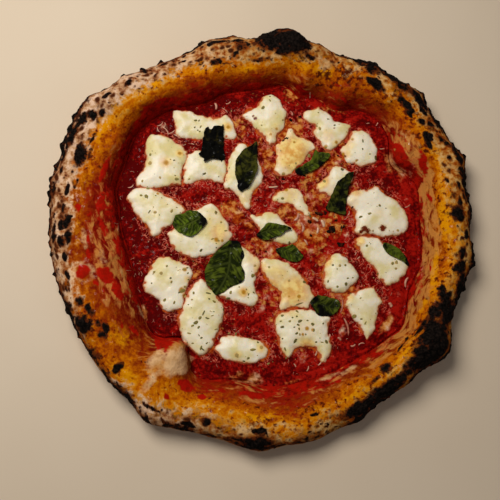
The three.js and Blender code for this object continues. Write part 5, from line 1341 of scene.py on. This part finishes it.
# ---- Herb flakes, shreds of cheese and burnt crumbs -------------------------------------------------

HERB_THICKNESS = 0.3
CRUMB_THICKNESS = 0.8
HERB_REACH = 100
STRAND_REACH = 104


def lie_on(tree, x, y):
    """Where a small thing lies on the toppings, and which way is up there."""
    place, normal, _, _ = tree.ray_cast(Vector((x, y, 60)), Vector((0, 0, -1)))
    if place is None:
        return Vector((x, y, 6)), Vector((0, 0, 1))
    return place, normal


def add_chip(points, faces, lie, size, direction, draw, sides=7):
    """A small uneven chip of some length, width and thickness, domed on top, that lies along the surface."""
    place, normal = lie
    length, width, thick = size
    across = normal.cross(Vector((math.cos(direction), math.sin(direction), 0))).normalized()
    along = across.cross(normal).normalized()
    start = len(points)
    spread = [draw.uniform(0.75, 1.2) for _ in range(sides)]
    for lift, scale in ((-0.5, 0.9), (0.45, 1.0), (1.0, 0.6)):
        for i, out in enumerate(spread):
            angle = 2 * math.pi * i / sides
            points.append(place + along * (length / 2 * out * scale * math.cos(angle))
                          + across * (width / 2 * out * scale * math.sin(angle))
                          + normal * thick * (lift + 0.25 * math.cos(2 * angle)))
    for ring in range(2):
        for i in range(sides):
            a = start + ring * sides + i
            b = start + ring * sides + (i + 1) % sides
            faces.append((a, b, b + sides, a + sides))
    faces.append(tuple(start + 2 * sides + i for i in range(sides)))
    faces.append(tuple(start + i for i in reversed(range(sides))))
    return 3 * sides


def pieces_named(*beginnings):
    return [o.name for o in bpy.data.objects if o.name.startswith(beginnings)]


def build_herbs(settings):
    draw = np.random.default_rng(settings.seed)
    tree = surface_tree(*pieces_named("melted_mozzarella", "wet_tomato", "baked_crust"))
    points, faces, tints = [], [], []
    for x, y, length, width, turn, tint in HERB_FLAKES:
        size = (1.15 * length, 1.35 * width, HERB_THICKNESS)
        count = add_chip(points, faces, lie_on(tree, x, y), size, math.radians(turn), draw)
        tints += [tint + draw.uniform(-0.1, 0.15)] * count
    for _ in range(settings.crumbs):
        angle = draw.uniform(0, 2 * math.pi)
        radius = HERB_REACH * draw.uniform(0, 1) ** 0.5
        lie = lie_on(tree, radius * math.cos(angle), radius * math.sin(angle))
        width = draw.uniform(0.4, 0.9)
        size = (width * 1.4, width, HERB_THICKNESS)
        count = add_chip(points, faces, lie, size, draw.uniform(0, math.pi), draw, sides=5)
        tints += [draw.uniform(0.2, 1.0)] * count
    masks = {"tint": np.array(tints)}
    piece = make_piece("dried_herb_flakes", points, faces, herb_material(settings), masks=masks)
    piece.data.polygons.foreach_set("use_smooth", [False] * len(piece.data.polygons))
    return piece


def herb_material(settings):
    """Dried oregano: dull olive flakes, some gone tan in the oven."""
    material, tree, place = new_material("dried oregano")
    fine = add_node(tree, "TexNoise", {"Vector": place, "Scale": blots(0.7), "Detail": 2.0})
    tint = broken_mask(tree, "tint", fine, 0.4, 0.0, 1.0)
    colour = add_node(tree, "ValToRGB", {0: tint}, stops=[
        (0.1, settings.dark_colour), (0.5, settings.colour), (0.95, settings.tan_colour)])
    shader = add_node(tree, "BsdfPrincipled", {
        "Base Color": colour, "Roughness": 0.6, "IOR": 1.45, "Specular IOR Level": 0.3})
    add_node(tree, "OutputMaterial", {"Surface": shader})
    return material


def add_shred(points, faces, tree, x, y, size, direction, bend, sides=6, steps=8):
    """A flat string of cheese that follows what it lies on and thins out at its ends."""
    length, width = size
    start = len(points)
    for i in range(steps + 1):
        part = i / steps - 0.5
        turn = direction + bend * part * 4
        swell = max((1 - (2 * part) ** 4) ** 0.5, 0.15)
        place, normal = lie_on(tree, x + length * part * math.cos(turn), y + length * part * math.sin(turn))
        side = normal.cross(Vector((math.cos(turn), math.sin(turn), 0))).normalized()
        for k in range(sides):
            angle = 2 * math.pi * k / sides
            points.append(place + side * (width / 2 * swell * math.cos(angle))
                          + normal * width * (0.08 + 0.26 * swell * math.sin(angle)))
    for i in range(steps):
        for k in range(sides):
            a = start + i * sides + k
            b = start + i * sides + (k + 1) % sides
            faces.append((a, b, b + sides, a + sides))
    faces.append(tuple(start + k for k in reversed(range(sides))))
    faces.append(tuple(start + steps * sides + k for k in range(sides)))
    return (steps + 1) * sides


def build_shreds(settings):
    draw = np.random.default_rng(settings.seed)
    tree = surface_tree("wet_tomato_sauce", "baked_crust")
    points, faces, pink = [], [], []
    for x, y, length, width, turn, bend, pinkness in CHEESE_SHREDS:
        count = add_shred(points, faces, tree, x, y, (length, width), math.radians(turn), bend)
        pink += [pinkness] * count
    for _ in range(settings.fine_strands):
        angle = draw.uniform(0, 2 * math.pi)
        radius = STRAND_REACH * draw.uniform(0, 1) ** 0.5
        x, y = radius * math.cos(angle), radius * math.sin(angle)
        if slab_nearness(np.array([x]), np.array([y]))[0] < 0.5:
            continue
        count = add_shred(points, faces, tree, x, y, (draw.uniform(1.2, 3.6), draw.uniform(0.25, 0.5)),
                          draw.uniform(0, math.pi), draw.uniform(-0.35, 0.35), sides=4, steps=5)
        pink += [draw.uniform(0.5, 1.0)] * count
    masks = {"pink": np.array(pink)}
    return make_piece("cheese_shreds", points, faces, shred_material(settings), masks=masks)


def shred_material(settings):
    """Thin strings of mozzarella stained pink by the sauce they lie in."""
    material, tree, place = new_material("sauce-stained mozzarella")
    fine = add_node(tree, "TexNoise", {"Vector": place, "Scale": blots(1.0), "Detail": 2.0})
    part = broken_mask(tree, "pink", fine, 0.8, 0.0, 1.0)
    colour = add_node(tree, "Mix", {0: part, 6: settings.pale_colour, 7: settings.pink_colour}, **BLEND)
    shader = add_node(tree, "BsdfPrincipled", {"Base Color": colour, "Roughness": 0.35, "IOR": 1.4})
    add_node(tree, "OutputMaterial", {"Surface": shader})
    return material


def build_crumbs(settings):
    draw = np.random.default_rng(settings.seed)
    tree = surface_tree(*pieces_named("melted_mozzarella", "wet_tomato", "baked_crust"))
    points, faces = [], []
    for x, y, length, width, turn in BURNT_CRUMBS:
        for _ in range(4):
            lie = lie_on(tree, x + draw.uniform(-0.3, 0.3) * length, y + draw.uniform(-0.3, 0.3) * width)
            size = (length * draw.uniform(0.5, 0.9), width * draw.uniform(0.5, 0.9), CRUMB_THICKNESS)
            add_chip(points, faces, lie, size, math.radians(turn + draw.uniform(-30, 30)), draw, sides=9)
    return make_piece("burnt_crumbs", points, faces, crumb_material(settings))


def crumb_material(settings):
    """Charred crumbs: matt black with a little dark red where the sauce wets them."""
    material, tree, place = new_material("charred crumb")
    fine = add_node(tree, "TexNoise", {"Vector": place, "Scale": blots(1.2), "Detail": 3.0})
    redder = add_node(tree, "MapRange", {"Value": fine, "From Min": 0.45, "From Max": 0.7}, **SOFT)
    colour = add_node(tree, "Mix", {0: redder, 6: settings.colour, 7: settings.brown_colour}, **BLEND)
    wet_finish(tree, place, colour, fine, 0.5 * MM, 0.7, 0.6, 0.2, 1.45)
    return material


# ---- The stage ------------------------------------------------------------------------------------

CAMERA_TARGET = (-9.36, -14.69, 8)
CAMERA_DISTANCE = 520
CAMERA_TILT = 12
CAMERA_TOWARD = 250
FRAME_WIDTH = 353
SENSOR = 36
# The floor and the lamps, in metres.
FLOOR_HALF_SIZE = 3.0
FLOOR_DROP = 0.0002
WINDOW_DISTANCE = 0.75
BOUNCE_DISTANCE = 1.6
BOUNCE_SIZE = 1.2
BOUNCE_HEIGHT = math.radians(50)


def build_stage(settings):
    size = FLOOR_HALF_SIZE
    mesh = bpy.data.meshes.new("tabletop")
    corners = [(-size, -size, 0), (size, -size, 0), (size, size, 0), (-size, size, 0)]
    mesh.from_pydata(corners, [], [(0, 1, 2, 3)])
    floor = bpy.data.objects.new("tabletop", mesh)
    bpy.context.scene.collection.objects.link(floor)
    floor.location.z = -FLOOR_DROP
    mesh.materials.append(tabletop_material(settings))
    add_lamp("window", settings.key_direction, settings.key_height, WINDOW_DISTANCE, settings.key_size,
             settings.key_power, settings.key_colour)
    add_lamp("bounce", settings.key_direction + math.pi, BOUNCE_HEIGHT, BOUNCE_DISTANCE, BOUNCE_SIZE,
             settings.fill_power, settings.fill_colour)
    world = bpy.data.worlds.new("soft studio")
    world.use_nodes = True
    background = world.node_tree.nodes["Background"]
    background.inputs["Color"].default_value = settings.sky_colour
    background.inputs["Strength"].default_value = settings.sky_strength
    bpy.context.scene.world = world
    add_camera()
    view = bpy.context.scene.view_settings
    view.view_transform = "Standard"
    view.look = "None"
    view.exposure = 0.0


def add_lamp(name, direction, height, distance, size, power, colour):
    lamp = bpy.data.lights.new(name, "AREA")
    lamp.shape = "DISK"
    lamp.size = size
    lamp.energy = power
    lamp.color = colour[:3]
    holder = bpy.data.objects.new(name, lamp)
    flat = math.cos(height) * distance
    holder.location = (flat * math.cos(direction), flat * math.sin(direction), math.sin(height) * distance)
    holder.rotation_euler = (-Vector(holder.location)).to_track_quat("-Z", "Y").to_euler()
    bpy.context.scene.collection.objects.link(holder)


def add_camera():
    """A camera that looks down and leans a little towards the near edge of the pizza."""
    tilt = math.radians(CAMERA_TILT)
    toward = math.radians(CAMERA_TOWARD)
    back = Vector((math.sin(tilt) * math.cos(toward), math.sin(tilt) * math.sin(toward), math.cos(tilt)))
    right = (-back).cross(Vector((0, 1, 0))).normalized()
    up = right.cross(-back)
    camera = bpy.data.cameras.new("camera")
    camera.sensor_width = SENSOR
    camera.lens = SENSOR * CAMERA_DISTANCE / FRAME_WIDTH
    camera.clip_start = 0.01
    holder = bpy.data.objects.new("camera", camera)
    turn = Matrix((right, up, back)).transposed().to_4x4()
    place = (Vector(CAMERA_TARGET) + back * CAMERA_DISTANCE) * MM
    holder.matrix_world = Matrix.Translation(place) @ turn
    bpy.context.scene.collection.objects.link(holder)
    bpy.context.scene.camera = holder


def tabletop_material(settings):
    """A plain pale painted board with a dull finish."""
    material, tree, place = new_material("pale painted board")
    cloud = add_node(tree, "TexNoise", {"Vector": place, "Scale": blots(60), "Detail": 2.0})
    colour = add_node(tree, "Mix", {0: cloud, 6: settings.floor_colour, 7: settings.floor_shade}, **BLEND)
    shader = add_node(tree, "BsdfPrincipled", {"Base Color": colour, "Roughness": 0.7, "IOR": 1.45})
    add_node(tree, "OutputMaterial", {"Surface": shader})
    return material


# ---- Settings -------------------------------------------------------------------------------------


def colour_setting(name, description, code):
    return FloatVectorProperty(name=name, description=description, default=linear(code), size=4, min=0, max=1,
                               subtype="COLOR")


def length_setting(name, description, default):
    return FloatProperty(name=name, description=description, default=default, unit="LENGTH")


def count_setting(name, description, default):
    return IntProperty(name=name, description=description, default=default, min=0)


class PizzaCrustSettings(bpy.types.PropertyGroup):
    """Sizes and colours of the crust."""
    relief: length_setting("Relief", "Strength of the bumps of the crust", 0.001)
    small_spots: count_setting("Small spots", "Number of small burnt spots", 300)
    spot_seed: count_setting("Spot seed", "Seed of the small spots", 4)
    soaked_colour: colour_setting("Soaked", "Dough soaked with sauce", "#6a0802")
    russet_colour: colour_setting("Russet", "Dark red-brown dough", "#802404")
    brown_colour: colour_setting("Brown", "Browned dough", "#944002")
    oiled_colour: colour_setting("Oiled", "Oiled dough", "#b65c00")
    golden_colour: colour_setting("Golden", "Golden dough", "#cc7a02")
    amber_colour: colour_setting("Amber", "Palest oiled dough", "#dea038")
    # Also used where the oily glaze carries a painted highlight.
    yellow_colour: colour_setting("Yellow", "Buttery yellow dough", "#dc9002")
    red_colour: colour_setting("Red", "Dough reddened by sauce", "#8c1203")
    cream_colour: colour_setting("Cream", "Cream that ran over the sauce", "#da9c4a")
    pit_colour: colour_setting("Pits", "Dark pits in the oiled dough", "#421204")
    toast_colour: colour_setting("Toast", "Darkest toasted dough", "#3a1a0b")
    biscuit_colour: colour_setting("Biscuit", "Toasted floury dough", "#885434")
    flour_colour: colour_setting("Floury", "Floury dough", "#bc9068")
    dusty_colour: colour_setting("Dusty", "Most floury dough", "#deba9e")
    ochre_colour: colour_setting("Ochre", "Plain baked dough outside", "#ac6c20")
    straw_colour: colour_setting("Straw", "Palest plain dough outside", "#cc9c52")
    bare_colour: colour_setting("Bare dough", "Pale bare dough", "#e2b684")
    bare_brown_colour: colour_setting("Bare brown", "Browner bare dough", "#b8864c")
    splash_colour: colour_setting("Splashes", "Splashes of sauce on the rim", "#a81204")
    scorch_colour: colour_setting("Scorched", "Scorched dough", "#54240c")
    spot_colour: colour_setting("Spots", "Dark middles of the spots", "#3a1c0c")
    char_colour: colour_setting("Charred", "Burnt black dough", "#070504")
    ash_colour: colour_setting("Ash", "Ash on the burnt dough", "#1f1713")


class PizzaSauceSettings(bpy.types.PropertyGroup):
    """Sizes and colours of the sauce."""
    relief: length_setting("Relief", "Strength of the lumps of the sauce", 0.001)
    colour: colour_setting("Sauce", "Tomato sauce", "#760603")
    # The painted shade of the sauce also moves its colour towards this dark tone.
    deep_colour: colour_setting("Deep", "Thick dark sauce", "#500202")
    thin_colour: colour_setting("Thin", "Thin bright sauce", "#a0140a")
    oil_colour: colour_setting("Oil", "Orange oil", "#ac440a")
    toasted_colour: colour_setting("Toasted", "Toasted sauce", "#701a04")
    curd_colour: colour_setting("Curd", "Curds of cheese in the oil", "#d08c44")
    speck_colour: colour_setting("Specks", "Specks of fat", "#c86a54")
    milk_colour: colour_setting("Milk", "Palest curds", "#e6c2a2")
    halo_colour: colour_setting("Halo", "Orange oil round the cheese", "#b85012")


class PizzaMozzarellaSettings(bpy.types.PropertyGroup):
    """Sizes and colours of the mozzarella."""
    relief: length_setting("Relief", "Strength of the swells of the slabs", 0.001)
    colour: colour_setting("Mozzarella", "Milky mozzarella", "#f2e9d2")
    cream_colour: colour_setting("Cream", "Creamier mozzarella", "#ded094")
    warm_colour: colour_setting("Warm", "Browning mozzarella", "#de9e3e")
    butter_colour: colour_setting("Butter", "Yellow fat", "#f6d888")
    thin_colour: colour_setting("Thin", "Thin cheese over sauce", "#e6b680")
    stained_colour: colour_setting("Stained", "Edge stained by sauce", "#b84c1c")
    gold_colour: colour_setting("Gold", "Golden toasted dots", "#b8821e")
    scorch_colour: colour_setting("Scorch", "Dark scorched dots", "#6a2000")


class PizzaBasilSettings(bpy.types.PropertyGroup):
    """Sizes and colours of the basil."""
    relief: length_setting("Relief", "Strength of the crumpling", 0.001)
    thickness: length_setting("Thickness", "Thickness of a leaf", 0.0004)
    colour: colour_setting("Green", "Green leaf", "#1c2705")
    # Brightest green is the painted light on the ridges of green leaves.
    bright_colour: colour_setting("Bright green", "Brightest green", "#5c7018")
    dry_colour: colour_setting("Dry", "Dried dark leaf", "#0f0f06")
    # Dried olive is the painted light on the ridges of dried leaves.
    olive_colour: colour_setting("Olive", "Dried olive leaf", "#3c3412")
    vein_colour: colour_setting("Veins", "Veins of the leaf", "#7a8638")
    char_colour: colour_setting("Charred", "Burnt leaf", "#090907")


class PizzaHerbSettings(bpy.types.PropertyGroup):
    """Sizes and colours of the herb flakes."""
    crumbs: count_setting("Crumbs", "Number of small crumbs of herb", 240)
    seed: count_setting("Seed", "Seed of the crumbs", 3)
    colour: colour_setting("Herb", "Dried herb", "#8c7e3e")
    dark_colour: colour_setting("Dark", "Darkest herb", "#645c2a")
    tan_colour: colour_setting("Tan", "Tan herb", "#ba9e62")


class PizzaShredSettings(bpy.types.PropertyGroup):
    """Sizes and colours of the shreds of cheese."""
    fine_strands: count_setting("Fine strands", "Tries at placing fine strands", 420)
    seed: count_setting("Seed", "Seed of the strands", 8)
    pale_colour: colour_setting("Pale", "Palest shreds", "#dfbd9c")
    pink_colour: colour_setting("Pink", "Shreds stained by sauce", "#a8503c")


class PizzaCrumbSettings(bpy.types.PropertyGroup):
    """Colours of the burnt crumbs."""
    seed: count_setting("Seed", "Seed of the crumbs", 12)
    colour: colour_setting("Black", "Burnt crumbs", "#120b08")
    brown_colour: colour_setting("Brown", "Browned crumbs", "#4a1d0c")


class PizzaStageSettings(bpy.types.PropertyGroup):
    """Floor and light."""
    floor_colour: colour_setting("Floor", "Floor", "#dccbb4")
    floor_shade: colour_setting("Floor shade", "Darker clouds of the floor", "#d2bfa6")
    key_colour: colour_setting("Window", "Colour of the window light", "#fffaf2")
    fill_colour: colour_setting("Bounce", "Colour of the bounced light", "#fff1e0")
    sky_colour: colour_setting("Sky", "Colour of the surrounding light", "#f4f6ff")
    sky_strength: FloatProperty(name="Sky strength", description="Strength of the surrounding light",
                                default=0.1, min=0)
    key_direction: FloatProperty(name="Window direction", description="Where the window light comes from",
                                 default=math.radians(138), subtype="ANGLE")
    key_height: FloatProperty(name="Window height", description="Height of the window light over the table",
                              default=math.radians(60), subtype="ANGLE")
    key_size: length_setting("Window size", "Width of the window light", 0.4)
    key_power: FloatProperty(name="Window power", description="Power of the window light", default=4.9,
                             unit="POWER")
    fill_power: FloatProperty(name="Bounce power", description="Power of the bounced light", default=1.2,
                              unit="POWER")


# ---- Operators ------------------------------------------------------------------------------------


class PIZZA_OT_crust(bpy.types.Operator):
    """Build the baked crust"""
    bl_idname = "pizza.crust"
    bl_label = "Crust"

    def execute(self, context):
        build_crust(context.scene.pizza_crust)
        return {"FINISHED"}


class PIZZA_OT_sauce(bpy.types.Operator):
    """Build the tomato sauce"""
    bl_idname = "pizza.sauce"
    bl_label = "Tomato sauce"

    def execute(self, context):
        build_sauce(context.scene.pizza_sauce)
        return {"FINISHED"}


class PIZZA_OT_mozzarella(bpy.types.Operator):
    """Build the melted slabs of mozzarella"""
    bl_idname = "pizza.mozzarella"
    bl_label = "Mozzarella"

    def execute(self, context):
        settings = context.scene.pizza_mozzarella
        material = mozzarella_material(settings)
        trees = {
            "laid": surface_tree("wet_tomato_sauce", "baked_crust"),
            "packed": surface_tree("tomato_sauce"),
        }
        for name in sorted(SLAB_OUTLINES):
            build_slab(name, material, trees, settings)
        return {"FINISHED"}


class PIZZA_OT_basil(bpy.types.Operator):
    """Build the basil leaves"""
    bl_idname = "pizza.basil"
    bl_label = "Basil"

    def execute(self, context):
        settings = context.scene.pizza_basil
        material = basil_material(settings)
        tree = surface_tree(*pieces_named("melted_mozzarella", "wet_tomato", "baked_crust"))
        for name in sorted(BASIL_LEAVES):
            build_leaf(name, material, tree, settings)
        return {"FINISHED"}


class PIZZA_OT_herbs(bpy.types.Operator):
    """Scatter the flakes of dried herb"""
    bl_idname = "pizza.herbs"
    bl_label = "Herb flakes"

    def execute(self, context):
        build_herbs(context.scene.pizza_herbs)
        return {"FINISHED"}


class PIZZA_OT_shreds(bpy.types.Operator):
    """Lay the shreds of cheese on the sauce"""
    bl_idname = "pizza.shreds"
    bl_label = "Cheese shreds"

    def execute(self, context):
        build_shreds(context.scene.pizza_shreds)
        return {"FINISHED"}


class PIZZA_OT_crumbs(bpy.types.Operator):
    """Drop the burnt crumbs"""
    bl_idname = "pizza.crumbs"
    bl_label = "Burnt crumbs"

    def execute(self, context):
        build_crumbs(context.scene.pizza_crumbs)
        return {"FINISHED"}


class PIZZA_OT_stage(bpy.types.Operator):
    """Set the floor, the lights and the camera"""
    bl_idname = "pizza.stage"
    bl_label = "Stage"

    def execute(self, context):
        build_stage(context.scene.pizza_stage)
        return {"FINISHED"}


class PIZZA_PT_panel(bpy.types.Panel):
    """Everything that builds the pizza"""
    bl_label = "Margherita Pizza"
    bl_space_type = "VIEW_3D"
    bl_region_type = "UI"
    bl_category = "Pizza"

    def draw(self, context):
        for operator in OPERATORS:
            self.layout.operator(operator.bl_idname)


SETTINGS = {
    "pizza_crust": PizzaCrustSettings,
    "pizza_sauce": PizzaSauceSettings,
    "pizza_mozzarella": PizzaMozzarellaSettings,
    "pizza_basil": PizzaBasilSettings,
    "pizza_herbs": PizzaHerbSettings,
    "pizza_shreds": PizzaShredSettings,
    "pizza_crumbs": PizzaCrumbSettings,
    "pizza_stage": PizzaStageSettings,
}
OPERATORS = (PIZZA_OT_crust, PIZZA_OT_sauce, PIZZA_OT_mozzarella, PIZZA_OT_basil, PIZZA_OT_herbs,
             PIZZA_OT_shreds, PIZZA_OT_crumbs, PIZZA_OT_stage)


def register():
    for name, group in SETTINGS.items():
        bpy.utils.register_class(group)
        setattr(bpy.types.Scene, name, PointerProperty(type=group))
    for item in (*OPERATORS, PIZZA_PT_panel):
        bpy.utils.register_class(item)


def unregister():
    for item in (PIZZA_PT_panel, *reversed(OPERATORS)):
        bpy.utils.unregister_class(item)
    for name, group in SETTINGS.items():
        delattr(bpy.types.Scene, name)
        bpy.utils.unregister_class(group)


def main():
    register()
    for operator in OPERATORS:
        family, action = operator.bl_idname.split(".")
        getattr(getattr(bpy.ops, family), action)()


if __name__ == "__main__":
    main()
